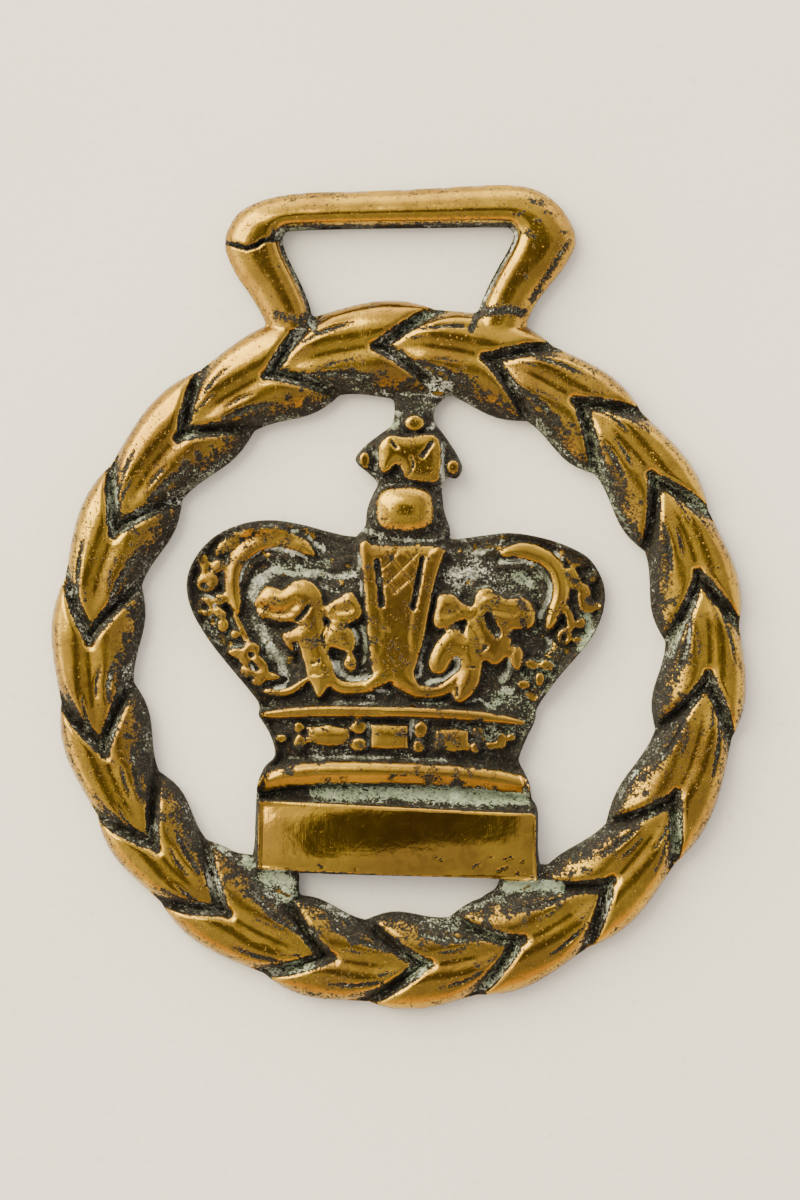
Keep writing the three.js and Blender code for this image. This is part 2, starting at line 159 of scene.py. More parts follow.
def turned(angle, r):
    """The place at a bearing and a radius."""
    return r * math.sin(math.radians(angle)), r * math.cos(math.radians(angle))


STEM = 33.9  # radius of the stem that the leaves spring from
ROOT_LEAD = 1.1
# Bearings of the springs, which the carver spaced by eye.
SPRINGS = [-4, 16.5, 35, 55, 75, 94, 117, 137, 157, 175, 193, 214, 232, 252, 273, 293.5, 315, 335]
NEXT = SPRINGS[1:] + [SPRINGS[0] + 360]
# The outer and the inner leaf of a pair: radius of the rim between leaves, how far a leaf swells
# past it, and degrees from its spring to where it meets the rim, ends, and takes over the rim.
OUTER = {"side": 1, "notch": 37.8, "bulge": 0.75, "rim_lead": 11.2, "tip_lead": 8.5, "turn": 10.0}
INNER = {"side": -1, "notch": 29.3, "bulge": 1.15, "rim_lead": 13.4, "tip_lead": 10.5, "turn": 12.2}
OVAL = 0.4  # the ring is this much out of round
OVAL_LONG_WAY = 345
PAST_RIM = 3  # a leaf's outline runs this far over the rim, which trims it


def notch_radius(kind, angle):
    """Radius of the rim between leaves: the outer rim is a slight oval."""
    oval = OVAL * np.cos(np.radians(2 * (angle - OVAL_LONG_WAY))) if kind["side"] > 0 else 0
    return kind["notch"] + oval


def rim(kind):
    """Radius of the wreath's edge at each bearing: it swells along a leaf and rounds in at its tip."""
    angles, radii = [], []
    for spring, following in zip(SPRINGS, NEXT):
        for s in np.linspace(0, 1, 10, endpoint=False):
            angle = spring + kind["turn"] + s * (following - spring)
            swell = kind["bulge"] * math.sin(math.pi * s**1.5)
            angles.append(angle)
            radii.append(notch_radius(kind, angle) + kind["side"] * swell)
    return np.interp(bearing, angles, radii, period=360)


def leaf_side(kind, spring, following):
    """One leaf's outline: out from the root, past the rim, and back in along the next groove."""
    side = kind["side"]
    root = spring + ROOT_LEAD
    tip = following + kind["tip_lead"]
    points = []
    for t in np.linspace(0, 1, 8):
        angle = root + kind["rim_lead"] * t
        points.append(turned(angle, STEM + side * t**0.95 * abs(notch_radius(kind, angle) - STEM)))
    reach_at_tip = abs(notch_radius(kind, tip) - STEM)
    points.append(turned(root + kind["rim_lead"] + 1.5, STEM + side * (reach_at_tip + PAST_RIM)))
    points.append(turned(tip - 0.3, STEM + side * (reach_at_tip + PAST_RIM)))
    for t in np.linspace(1, 0.08, 8):
        angle = following + kind["tip_lead"] * t
        points.append(turned(angle, STEM + side * reach_at_tip * t**1.08))
    return points


def leaf_pair(spring, following):
    """A pair of leaves as one outline, forked at its end round the root of the next."""
    fork = [turned(following - 0.8, STEM)]
    inner = leaf_side(INNER, spring, following)
    return np.array(leaf_side(OUTER, spring, following) + fork + inner[::-1])


footing = np.minimum(rim(OUTER) - radius, radius - rim(INNER))  # depth inside the casting's plan
relief = np.full(X.shape, WEB)
tarnish = np.zeros(X.shape)
verdigris = np.zeros(X.shape)
chalk = np.zeros(X.shape)

LEAF_CREST = 3.6
STEM_DIP = 0.2
SIDE_FALL = 0.95
ROOT_DROP = 0.6
TIP_LIFT = 0.15
GROOVE_DIRT = 0.62
for spring, following in zip(SPRINGS, NEXT):
    outline = leaf_pair(spring, following)
    depth = inside(outline, pad=0.8) + 0.15
    past_root = (bearing - spring - 1 + 180) % 360 - 180
    off_stem = radius - STEM
    crest = LEAF_CREST - STEM_DIP * np.exp(-((off_stem / 0.9) ** 2))
    crest -= SIDE_FALL * np.clip((abs(off_stem) - 1.5) / 2.8, 0, 1.4) ** 2
    crest -= ROOT_DROP * (1 - ease(past_root / 9.0))
    crest += TIP_LIFT * ease((past_root - 14) / 8.0)
    edge = blended_min(depth, footing + 0.1, 0.9)
    leaf = WEB + (crest - WEB) * bank(edge, 1.2)
    rim_fall = PLAN_EDGE + (LEAF_CREST + 0.3 - PLAN_EDGE) * bank(footing, 2.3)
    leaf = blended_min(leaf, rim_fall, 0.35)
    relief = np.where(depth > 0, np.maximum(relief, leaf), relief)
    groove_here = (depth > -0.9) & (depth < 0.1) & (footing > 0)
    tarnish = np.where(groove_here, np.maximum(tarnish, GROOVE_DIRT), tarnish)

    # Vein slits: start and end (degrees past the root, radius), half width and depth.
    shift = math.sin(7.3 * spring)  # no two leaves are cut quite alike
    for (start, start_r), (end, end_r), width, deep in (
        ((6 + shift, 35.5 + 0.3 * shift), (14 + 2 * shift, 36.7), 0.17, 0.4 + 0.3 * shift),
        ((7 - shift, 32.2), (17 + shift, 30.9 - 0.3 * shift), 0.22, 0.75),
        ((3.5 + shift, 34.6), (9 - shift, 35), 0.12, 0.35 - 0.3 * shift),
        ((9, 33 - 0.5 * shift), (15, 32.7), 0.14, 0.3 - 0.25 * shift),
    ):
        root = spring + 1
        mid = ((start + end) / 2, (start_r + end_r) / 2 + 0.12)
        vein = [turned(root + a, r) for a, r in ((start, start_r), mid, (end, end_r))]
        spot, gap, share = near_line(curve(vein, closed=False, parts=4), 1.5)
        slit = np.exp(-((gap / width) ** 2)) * np.sin(np.pi * np.clip(0.1 + 0.85 * share, 0, 1))
        relief[spot] -= 0.4 * deep * slit
        tarnish[spot] += (0.55 + 0.5 * deep) * np.sqrt(slit)
    shade = [turned(spring + 5, 31.6), turned(spring + 12, 30.6), turned(spring + 19, 30.2)]
    spot, gap, _ = near_line(curve(shade, closed=False, parts=4), 3)
    tarnish[spot] += 0.3 * np.exp(-((gap / 1.0) ** 2)) * (depth[spot] > 0)

inner_edge = 1 - ease((radius - rim(INNER) - 0.2) / 2.6)
tarnish += 0.55 * inner_edge * (footing > 0)

# ---- The hanger ----
# A loop of rounded bar on top of the wreath, which the harness strap passes through. The bar is
# bevelled along the slot, where the strap has worn it bright, and cracked at its left corner.

HANGER_TOP = 3.3
hanger_outer = curve(
    [(-14.2, 35.5), (-15.2, 37.6), (-16.4, 39.6), (-17.8, 41.6), (-18.8, 43.7), (-19.1, 45.2),
     (-18.6, 47), (-17.2, 48.8), (-14.2, 50.1), (-10, 50.7), (-3, 50.9), (4, 51.2), (9, 51.5),
     (12.6, 51.5), (15.3, 50.9), (17.6, 49.2), (19.1, 46.8), (19.3, 44.9), (18.1, 42.6),
     (16.2, 40.2), (14.9, 38.4), (13.6, 35.5)],
    closed=False,
)
hanger_inner = curve(
    [(-9.2, 35.5), (-9.9, 38.6), (-11, 41.2), (-12.3, 43.8), (-12.8, 45.4), (-12.6, 46.2),
     (-11.6, 46.6), (-5, 46.8), (3, 46.9), (11, 47), (12.2, 46.8), (12.6, 46), (12, 44.5),
     (10.8, 42.4), (9.4, 39.6), (7.9, 35.5)],
    closed=False,
)
hanger = inside(np.vstack((hanger_outer, hanger_inner[::-1])), pad=1.2)
spot = window(hanger_outer, 2)
from_outside, _ = line_distance(hanger_outer, X[spot], Y[spot])
from_slot, _ = line_distance(hanger_inner, X[spot], Y[spot])
round_side = PLAN_EDGE + (HANGER_TOP + 0.1 - PLAN_EDGE) * bank(from_outside, 3.4)
bevel = PLAN_EDGE + 1.25 * ease(from_slot / 0.5) + 1.05 * bank(from_slot - 0.45, 1.7)
bar = np.full(X.shape, FAR_OFF)
bar[spot] = blended_min(round_side, bevel, 0.15)
# The strip along the slot's edge is darkened.
tarnish[spot] += 0.75 * (1 - ease((from_slot - 0.2) / 0.3))
relief = np.where(hanger > 0, blended_max(bar, np.where(footing > 0, relief, 0), 0.2), relief)
footing = blended_max(footing, hanger, 0.6)

CRACK_HALF_WIDTH = 0.15
CRACK_DEPTH = 1.1
CRACK = [(-19.3, 45.3), (-18, 44.9), (-16.6, 44.5), (-15.6, 44.8), (-14.8, 45.4), (-13.7, 45.5),
         (-12.6, 45.9)]
spot, gap, _ = near_line(np.array(CRACK), 1.5)
crack = np.exp(-((gap / CRACK_HALF_WIDTH) ** 2))
relief[spot] -= CRACK_DEPTH * crack
tarnish[spot] += 1.1 * crack


def paint(coat, strokes):
    """Lay soft-edged strokes of tarnish or crust: each is a line, its half width and its amount."""
    for points, half_width, amount in strokes:
        path = curve(points, closed=False, parts=4)
        spot, gap, _ = near_line(path, 2 * half_width + 1)
        coat[spot] = np.maximum(coat[spot], amount * np.exp(-((gap / (1.3 * half_width)) ** 2)))


# Spots and strokes of tarnish that the strap and the rag have left on the bar.
paint(tarnish, (
    ([(-13.6, 46.1), (-12.9, 46.5)], 0.3, 0.9),
    ([(18.5, 45.2), (17.6, 43.8), (16.6, 42.2), (15.4, 40.4), (14.4, 38.9)], 0.28, 0.75),
    ([(14.3, 49.8), (15.2, 49.6), (15.9, 49.3)], 0.3, 0.55),
    ([(16, 48.5), (17, 48.3)], 0.25, 0.6),
    ([(15, 47.6), (15.4, 47.4)], 0.22, 0.65),
    ([(12.5, 48.2), (13.6, 48.3)], 0.2, 0.5),
    ([(14.2, 46.2), (14.8, 45.6)], 0.4, 0.5),
    ([(17.8, 46.5), (18.4, 46.2)], 0.25, 0.55),
    ([(13.8, 41.6), (13.9, 41.1)], 0.14, 0.7),
    ([(-13.4, 37.2), (-11.6, 36.8), (-9.6, 37)], 0.5, 0.7),
    ([(9.2, 37.6), (11.4, 37.7), (13.4, 37.6)], 0.5, 0.85),
))

# ---- The crown's ground and its webs ----
# The sunk plate that the crown's carving stands on, with thin webs of metal left by the mould:
# one up into the wreath behind the orb and cross, and one at each end of the plinth.

GROUND = 2.2
GROUND_DIRT = 0.95
crown_outline = curve(
    [(-4.4, 13), (-7.5, 13.5), (-10.5, 14.3), (-13.7, 14.8), (-16.8, 14.5), (-19.8, 13.3),
     (-21.8, 11.5), (-23, 9.4), (-23.3, 7.2), (-22.6, 4.6), (-20.8, 1.6), (-18.6, -1.2),
     (-16.6, -3.6), (-15.4, -5.3), (-15.3, -6.7), (-14.2, -8.6), (-13.6, -10.9), (-14.8, -12.3),
     (-15.5, -14.2), (-15.7, -16.5), (-15.8, -20), (-15.6, -23.4), (-10, -23.9), (0, -24.1),
     (10, -24.4), (15.1, -24.7), (15.2, -21), (15.2, -17), (14.5, -15.6), (14.2, -13.8),
     (13.2, -11.8), (13.2, -11), (13.8, -9.5), (14.9, -7.2), (15.2, -5.7), (17.4, -2.5),
     (20.8, 1.5), (22.2, 4.2), (22.6, 6.6), (22.1, 8.7), (20.7, 10.7), (18.3, 12), (15.5, 12.9),
     (12.2, 13.4), (9, 13.1), (6, 12.7), (4.6, 13)],
    parts=4,
)
finial_web = curve(
    [(-4.2, 12.5), (-3.7, 14.2), (-3.5, 16), (-2.9, 17.6), (-2.4, 18.8), (-3.3, 19.9),
     (-4.5, 20.9), (-4.75, 21.7), (-3.7, 23), (-2, 24.3), (-0.8, 25.3), (-0.5, 27), (-0.9, 28.8),
     (-2.5, 30), (7, 30), (5.4, 28.6), (4, 27.2), (3.9, 25.6), (4.9, 24.2), (6.3, 22.1),
     (6.95, 20.5), (6.3, 19.4), (5.3, 19.5), (4.7, 18.4), (4.9, 16), (5, 12.5)],
    parts=4,
)
left_web = curve([(-18.4, -22), (-15, -22.2), (-11.4, -23.6), (-11, -25.2), (-11.4, -27), (-15, -28),
                  (-19, -25)])
right_web = curve([(14.6, -23), (16.6, -23), (18.5, -22), (19, -25), (13, -28), (9.4, -26.8),
                   (10.6, -25.6), (11.4, -24.4)])
crown = inside(crown_outline)
webs = np.maximum.reduce([inside(outline) for outline in (finial_web, left_web, right_web)])
plate = np.maximum(crown, webs)
plate_height = PLAN_EDGE + (GROUND - PLAN_EDGE) * bank(plate, 0.6)
plate_height = np.where(footing > 0.3, np.maximum(relief, plate_height), plate_height)
relief = np.where(plate > 0, plate_height, relief)
footing = blended_max(footing, plate, 0.5)
tarnish = np.where((plate > 0) & (radius < 28.8), GROUND_DIRT, tarnish)


def stand(depth, top, width, crown_share=0.0):
    """Raise a form out of what is already there, with a low crown over its whole width."""
    rise = (1 - crown_share) * bank(depth, width) + crown_share * bank(depth, 4 * width)
    form = relief + (top - relief) * rise
    relief[:] = np.where(depth > 0, blended_max(relief, form, 0.1), relief)


def wipe(depth, amount=0.0):
    """Rub a form to an amount of tarnish, none for bright metal, fading out along its outline."""
    tarnish[:] = tarnish + (amount - tarnish) * ease((depth + 0.12) / 0.5)


def roll(points, half_width, top, bright=0.0, taper=0.25):
    """A half-round roll along a line, narrowing to its ends."""
    path = curve(points, closed=False)
    depth = np.full(X.shape, FAR_OFF)
    spot, gap, share = near_line(path, half_width + 1)
    ends = np.clip(np.minimum(share, 1 - share) / 0.18, 0, 1)
    depth[spot] = half_width * (taper + (1 - taper) * np.sqrt(ends)) + 0.1 - gap
    stand(depth, top, half_width)
    wipe(depth, bright)


def score(points, half_width, deep, dark):
    """A fine sunk line."""
    path = curve(points, closed=False, parts=3)
    spot, gap, _ = near_line(path, 1.2)
    line = np.exp(-((gap / half_width) ** 2))
    relief[spot] -= deep * line
    tarnish[spot] += dark * line


def pearl(x, y, half_w, half_h, top, turn=0, bright=0.0):
    """An oval bead."""
    c, s = math.cos(math.radians(turn)), math.sin(math.radians(turn))
    u = ((X - x) * c + (Y - y) * s) / half_w
    v = ((Y - y) * c - (X - x) * s) / half_h
    depth = (1 - np.hypot(u, v)) * min(half_w, half_h) + 0.3
    stand(depth, top, min(half_w, half_h) * 0.8)
    wipe(depth, bright)


# ---- The side arches ----
# Two arches curve down from the orb to the circlet. Each is a flat band set with pearls of all
# sizes, edged inside by a narrow roll and a second thin ridge, cast in one with the ground.

BAND_TOP = 2.8
TRIM_TOP = 3.6
PEARL_TOP = 3.5
left_band = [(-14.8, -4), (-17.2, -0.8), (-19.6, 2.6), (-21.2, 5.8), (-21.2, 8.6), (-19.6, 11.2),
             (-17, 13), (-13.6, 13.6), (-10, 12.9)]
right_band = [(14.8, -4), (17.4, -0.8), (19.4, 2), (20.5, 5), (20.3, 8), (18.9, 10.3), (16.4, 11.8),
              (13.2, 12.2), (10, 11.9)]
for points in (left_band, right_band):
    roll(points, 1.8, BAND_TOP, bright=0.46, taper=0.6)
left_trim = [(-9.5, 11.2), (-10.5, 11.8), (-11.7, 12.3), (-13, 12.6), (-14.2, 12.6), (-15.5, 12.2),
             (-16.6, 11.5), (-17.5, 10.7), (-18.1, 9.6), (-18.3, 8.3), (-18.25, 7), (-18, 5.9),
             (-17.7, 5)]
right_trim = [(11.5, 11.2), (13.3, 11.4), (14.8, 11.1), (16, 10.6), (17, 9.7), (17.6, 8.5),
              (17.8, 7.2), (17.6, 5.9), (17, 4.6), (16.4, 3.1)]
for points in (left_trim, right_trim):
    roll(points, 1.12, TRIM_TOP, taper=0.5)
roll([(-18.3, 5.4), (-17.8, 4), (-17, 2.4), (-16.2, 0.7), (-15.2, -0.9), (-14, -2.5)], 0.4, 3.1)
left_ridge = [(-16.9, 7.8), (-16.6, 9.3), (-15.6, 10.4), (-14.3, 10.9), (-12.4, 10.9), (-10.8, 10.4)]
right_ridge = [(11, 9.7), (13, 9.8), (14.6, 9.4), (15.7, 8.2), (16, 6.8), (15.6, 5.4)]
for points in (left_ridge, right_ridge):
    roll(points, 0.4, 2.9, bright=0.68)

# Each pearl's place, half width, half height and lean in degrees, anticlockwise.
PEARLS = [
    (-14.2, 13.6, 0.95, 0.24, 0), (-16.6, 13.4, 0.5, 0.3, 30), (-18.8, 12.1, 1.4, 0.6, 36),
    (-21.4, 10.1, 0.38, 0.72, 0), (-19.8, 9.8, 0.68, 0.55, 0), (-21, 8.1, 1.15, 1.05, 20),
    (-21.2, 5.4, 0.75, 0.95, 0), (-19.6, 6.1, 0.6, 0.6, 0), (-19.7, 4.6, 0.6, 0.35, -25),
    (-19.3, 3.3, 0.55, 0.6, 0), (-18, 2.3, 0.35, 0.35, 0), (-16.2, 0.6, 0.95, 0.75, 25),
    (-17.6, 0.2, 0.8, 0.4, -10), (-15.3, -0.7, 0.95, 0.4, -42), (-16.9, -0.6, 0.4, 0.3, -20),
    (-16.8, -1.9, 0.7, 0.55, 0), (-14.7, -2.2, 1.1, 0.3, -8), (-15.5, -2.9, 0.4, 0.25, 0),
    (19, 10.7, 1.35, 0.6, -32), (18.9, 9, 0.45, 0.5, 10), (19.4, 8, 0.5, 0.7, 10),
    (20.3, 6.4, 0.65, 1.2, 0), (20.9, 5.4, 0.85, 0.6, 0), (21.2, 8.5, 0.3, 0.35, 0),
    (18.7, 4.1, 0.3, 0.8, 15), (18.1, 2.1, 0.75, 0.85, -20), (19.6, 1.6, 0.35, 0.35, 0),
    (19.9, 3.5, 0.42, 0.42, 0), (16.2, -1.1, 0.6, 0.4, -20), (14.5, -1.0, 0.55, 0.4, -25),
    (13.6, -3.2, 0.5, 0.35, 0), (15.4, -2.6, 0.35, 0.5, 0),
]
for x, y, half_w, half_h, turn in PEARLS:
    pearl(x, y, half_w, half_h, PEARL_TOP, turn, bright=0.1)
for x, y in ((-21.4, 7.6), (-16.2, 0.1), (-21.3, 5.3), (18.1, 1.9)):
    pearl_pit = np.exp(-(((X - x) / 0.28) ** 2 + ((Y - y) / 0.3) ** 2))
    relief -= 0.7 * pearl_pit
    tarnish += pearl_pit

# ---- The fleury crosses, the swags and the middle arch ----
# Between the arches stand two fleury crosses on a row of swags, and an upright arch whose sunk
# panel is cross-hatched. They are soft, worn carvings that polishing has rubbed bright on top.

FLEUR_TOP = 3.8
left_fleur = curve(
    [(-15.6, 5.9), (-15, 7), (-14.3, 7.5), (-13.6, 7.3), (-12.8, 7.0), (-12.1, 7.5), (-11.3, 8),
     (-10.3, 8.1), (-9.4, 7.7), (-8.7, 6.7), (-8.5, 5.6), (-8.5, 4), (-8.15, 2.8), (-7.9, 3),
     (-7.1, 3.4), (-5.9, 3.2), (-5.1, 2.4), (-4.9, 1.4), (-5.2, 0.5), (-6.2, 0.7), (-7.5, 1.1),
     (-7.9, 0.5), (-7.8, -0.3), (-7.3, -1.2), (-7.3, -2.4), (-7.9, -3.2), (-8.7, -4.4),
     (-9.3, -3.3), (-9.8, -2.4), (-10.1, -1.2), (-10.5, -0.2), (-10.9, 0.9), (-11.3, 0.6),
     (-12.1, 1.1), (-12.7, 2.1), (-12, 2.6), (-11.1, 2.9), (-11, 3.6), (-12, 3.8), (-13.3, 3.8),
     (-14.8, 4.1), (-15.4, 4.8)],
    parts=3,
)
right_fleur = curve(
    [(8.3, 5.4), (8.5, 6.5), (9, 7.1), (9.9, 7.2), (10.8, 6.5), (11.6, 6.1), (12.6, 6.1),
     (13.6, 6.2), (14.3, 5.7), (14.8, 4.6), (14.5, 3.3), (13.2, 3), (12.2, 2.9), (12.1, 1.7),
     (11.8, 0.5), (11.2, -0.5), (10.4, -0.9), (9.6, -0.4), (9, -0.6), (8.8, -1.7), (8.6, -2.9),
     (8, -4), (6.8, -5), (6.1, -4.6), (6.4, -3.2), (6.9, -1.6), (6.8, -0.4), (6.3, 0), (5.6, -0.5),
     (4.8, -1.7), (3.9, -1.8), (3.4, -1), (3.7, 0.2), (4.5, 1.6), (5.5, 2.6), (6.4, 2.8),
     (7.1, 2), (7.5, 3.2), (8, 4.3)],
    parts=3,
)
left_lobe = curve([(-8, 4.9), (-7.2, 5.8), (-6.3, 6.3), (-5.4, 6.8), (-4.7, 6.1), (-4.2, 4.7),
                   (-4.9, 3.9), (-6.1, 3.7), (-7.4, 3.9)], parts=3)
right_lobe = curve([(4.5, 6.4), (5.8, 6.5), (6.8, 5.6), (7.9, 5), (7.3, 4.2), (6.2, 3.8),
                    (5.2, 3.2), (4.2, 3.1), (3.9, 4), (4.2, 5.4)], parts=3)
small_lobe = curve([(12.7, 1), (13.3, 0.6), (13.4, -0.4), (13, -1.4), (12.4, -0.8), (12.2, 0.1)], parts=3)
left_scroll = curve([(-5.4, 0.1), (-4.9, -0.5), (-4.8, -1.3), (-5.3, -1.5), (-5.9, -1)], parts=3)
for outline in (left_fleur, right_fleur, left_lobe, right_lobe, small_lobe, left_scroll):
    form = inside(outline, pad=0.9) + 0.46
    stand(form, FLEUR_TOP, 0.4, crown_share=0.5)
    wipe(form)
left_volute = 1 - np.hypot((X + 12.3) / 3.1, (Y - 6.2) / 1.6)
right_volute = 1 - np.hypot((X - 11.6) / 3, (Y - 5.2) / 1.7)
for volute in (left_volute, right_volute):
    relief += 0.28 * bank(volute, 1.0) * (volute > 0)

for points, half_width, deep in (
    ([(-15.2, 5.3), (-13.8, 4.75), (-12.4, 4.8), (-11.4, 5.5)], 0.55, 0.4),
    ([(-14.6, 3.9), (-13.2, 3.2), (-12, 3.2)], 0.3, 0.5),
    ([(-7.9, 3.1), (-8.2, 1.9), (-8.2, 0.8)], 0.3, 0.3),
    ([(8, 3), (8.6, 1.6), (8.7, 0.2)], 0.5, 0.25),
    ([(9.2, 5.2), (11, 4.9), (12.6, 4.6)], 0.5, 0.25),
    ([(6.1, 4.8), (5.2, 4.6)], 0.5, 0.2),
    ([(-6.9, 4.9), (-5.4, 5)], 0.5, 0.2),
):
    score(points, half_width, deep, 0.12)

SWAG_TOP = 3.45
roll([(-14.9, -3.9), (-13.4, -4.1), (-12, -3.9), (-11, -3.3), (-10, -2.5)], 0.55, SWAG_TOP)
roll([(-7.5, -2.6), (-6.5, -3.4), (-5, -3.55), (-3.4, -3.35), (-2, -2.7), (-0.8, -2.3),
      (0.2, -3.1), (1.5, -3.75), (3.1, -4.05), (4.6, -3.8), (5.6, -3.2), (6.6, -2.3)],
     0.92, SWAG_TOP, taper=0.9)

PANEL_TOP = 3.7
PANEL_ROLL_TOP = 3.8
middle_arch = curve(
    [(-4.3, 12.2), (-4.15, 10.9), (-3.85, 9.2), (-3.65, 7), (-3.5, 4.6), (-3.3, 2), (-3.15, -0.4),
     (-2.9, -1.5), (-2.8, -2.3), (-3.4, -3.1), (-2, -3), (-0.8, -2.5), (0.4, -3), (1.6, -3.6),
     (1.9, -2.9), (1.5, -2), (1.9, -0.8), (2.4, 1), (2.95, 4), (3.45, 6.4), (3.9, 8.4),
     (4.5, 10.4), (5.1, 11.6), (2.4, 12), (0, 12), (-2.4, 12)],
    parts=3,
)
form = inside(middle_arch, pad=0.6) + 0.35
stand(form, PANEL_TOP, 0.4, crown_share=0.5)
wipe(form)
roll([(-3.7, 12.3), (-3.35, 9), (-3, 6), (-2.7, 3), (-2.6, 0.4)], 0.85, PANEL_ROLL_TOP, taper=0.6)
roll([(4.3, 11.4), (3.3, 8.8), (2.7, 6), (2.2, 3.2), (1.8, 0.6)], 0.85, PANEL_ROLL_TOP, taper=0.6)
score([(-2.45, 10.3), (-2.2, 8.4), (-2, 6.8), (-1.9, 5.5)], 0.2, 1.0, 1.2)
score([(2.5, 10.6), (2.15, 8.6), (1.85, 6.9), (1.55, 5.2)], 0.18, 0.9, 1.1)
for points in (
    [(-2.2, 9.3), (-1, 10.3), (-0.3, 11.3)],
    [(-2, 7.3), (-0.3, 8.9), (2, 11.2)],
    [(-0.7, 6.8), (0.7, 8), (2, 9)],
    [(-1.3, 11.2), (-0.3, 10), (1.8, 7.4)],
    [(-2.1, 9.2), (-1.2, 8), (-0.4, 7)],
    [(0.9, 11.2), (1.6, 10.2), (2.2, 9.4)],
    [(-1.8, 3.0), (-1.2, 2.8)],
    [(-2.2, 1.8), (-2, 1.5)],
):
    score(points, 0.11, 0.13, 0.28)
score([(-11.2, 3.9), (-10.5, 4.5), (-9.9, 5.3)], 0.17, 0.5, 1.0)
score([(-11.4, 1.2), (-11.2, 0.4), (-11, -0.6)], 0.3, 0.6, 1.0)
score([(9.7, 4.3), (10.2, 3.3), (10.7, 2.4)], 0.34, 0.8, 1.1)
for points in (
    [(-9.4, -0.8), (-8.8, -0.7)], [(-9.6, -2), (-8.5, -2)], [(7.7, -1.2), (8.3, -1.3)],
    [(6.3, -3.6), (6.35, -4.4)], [(9.3, 0.7), (9.6, 1.1)], [(-8.3, 2.7), (-8.4, 1.6)],
):
    score(points, 0.12, 0.25, 0.8)

# ---- The circlet ----
# The headband of the crown: a bright roll above, a band of blunt-ended jewels between pearls, and
# the heavy base roll below, with a deep groove under it that polish never reaches.

CIRCLET_ROLL = 3.8
CIRCLET_BAND = 2.5
JEWEL_TOP = 3.5
roll([(-15.2, -6.5), (-13, -6.35), (-10, -6.15), (-7, -6.1), (-3, -6.15), (1, -6.2), (5, -6.4),
      (8, -6.6), (11, -6.95), (13.6, -7.4)],
     0.8, CIRCLET_ROLL, taper=0.5)
score([(-14, -6.5), (-10, -6.25), (-6, -6.2), (-2, -6.3)], 0.14, 0.14, 0.1)
# Each jewel's place, half width, half height and how far its ends are pointed.
JEWELS = [
    (-1.05, -8.9, 2.0, 1.3, 0.0),
    (-7.75, -8.8, 2.3, 1.15, 0.14),
    (5.8, -9.3, 1.8, 1.25, 0.1),
]
band_low = inside([(-14, -7.2), (14.4, -7.7), (13.2, -11.4), (-13.6, -11)], pad=0.5)
stand(band_low, CIRCLET_BAND, 0.5)
for x, y, half_w, half_h, pointed in JEWELS:
    along = abs(X - x)
    gem = np.minimum(half_w - along, half_h - abs(Y - y + 0.03 * (X - x)) - pointed * along)
    stand(gem + 0.25, JEWEL_TOP, 0.4, crown_share=0.6)
    wipe(gem + 0.25, 0.1)
for x, y, half_w, half_h in (
    (-4.4, -7.8, 0.75, 0.66), (-4.4, -9.8, 0.78, 0.62), (2.4, -8.1, 0.65, 0.75),
    (2.1, -10, 0.65, 0.55), (-11, -7.9, 0.45, 0.42), (-10.9, -9.6, 0.5, 0.72),
    (-12.9, -9.1, 0.4, 0.3), (8.6, -8.4, 0.5, 0.5), (8.4, -10.1, 0.42, 0.5),
    (9, -9.2, 0.35, 0.3), (10.2, -9.9, 0.5, 0.3), (11.2, -9.4, 0.4, 0.7), (12.3, -9.0, 0.3, 0.3),
):
    pearl(x, y, half_w, half_h, 3.3, bright=0.14)
for x in (-3.4, 1.35):
    score([(x, -7.4), (x + 0.05, -10.4)], 0.15, 0.4, 0.7)

BASE_TOP = 4.1
roll([(-15.3, -14.1), (-13, -13.3), (-10, -12.9), (-6, -12.8), (-2, -12.85), (2, -12.95),
      (6, -13.2), (10, -13.6), (12.8, -14.1), (14.4, -14.8)],
     1.45, BASE_TOP, taper=0.5)
# The roll's lower half is a flat bevel below a hard edge, then the groove.
ARRIS = [(-15.2, -14), (-12, -13.35), (-8, -13.1), (0, -13.05), (5, -13.25), (9, -13.7), (13, -14.3)]
below_arris = np.interp(X, *zip(*ARRIS)) - Y
bevel_here = (below_arris > 0) & (below_arris < 1.1) & (abs(X + 0.3) < 14.6) & (crown > 0.2)
relief = np.where(bevel_here, BASE_TOP - 0.1 - 0.5 * below_arris, relief)
tarnish = np.where(bevel_here, 0.8 * ease((below_arris - 0.8) / 0.5), tarnish)
base_groove = inside([(-13.6, -14.6), (13.4, -15), (14.4, -17), (-15, -15.8)])
tarnish = np.maximum(tarnish, GROUND_DIRT * ease((base_groove + 0.1) / 0.2))

# The whole crown is a low dome, which falls off to its sides and to its ends.
DOME_WIDE = 0.0034
DOME_HIGH = 0.0022
over_plinth = ease((Y + 16.4) / 1.2) * (1 - ease((Y - 12.5) / 2)) * ease(crown / 0.8)
relief -= over_plinth * (DOME_WIDE * X**2 + DOME_HIGH * (Y - 4) ** 2)

# ---- The plinth ----
# A plain block under the crown, which takes the most polishing: its face is worn slightly round
# and covered in fine scratches, with a few casting pits and short nicks near its foot.

PLINTH_TOP = 3.9
plinth_outline = [(-15.5, -15.8), (-15.6, -23.5), (-11, -23.8), (0, -24.4), (15.2, -24.9),
                  (15.15, -17.6), (14.6, -17.1), (5, -16.55), (0, -16.3), (-8, -15.95)]
plinth = inside(plinth_outline)
stand(plinth, PLINTH_TOP, 0.5)
wipe(plinth + 0.1, -0.12)
on_plinth = ease(plinth / 0.5)
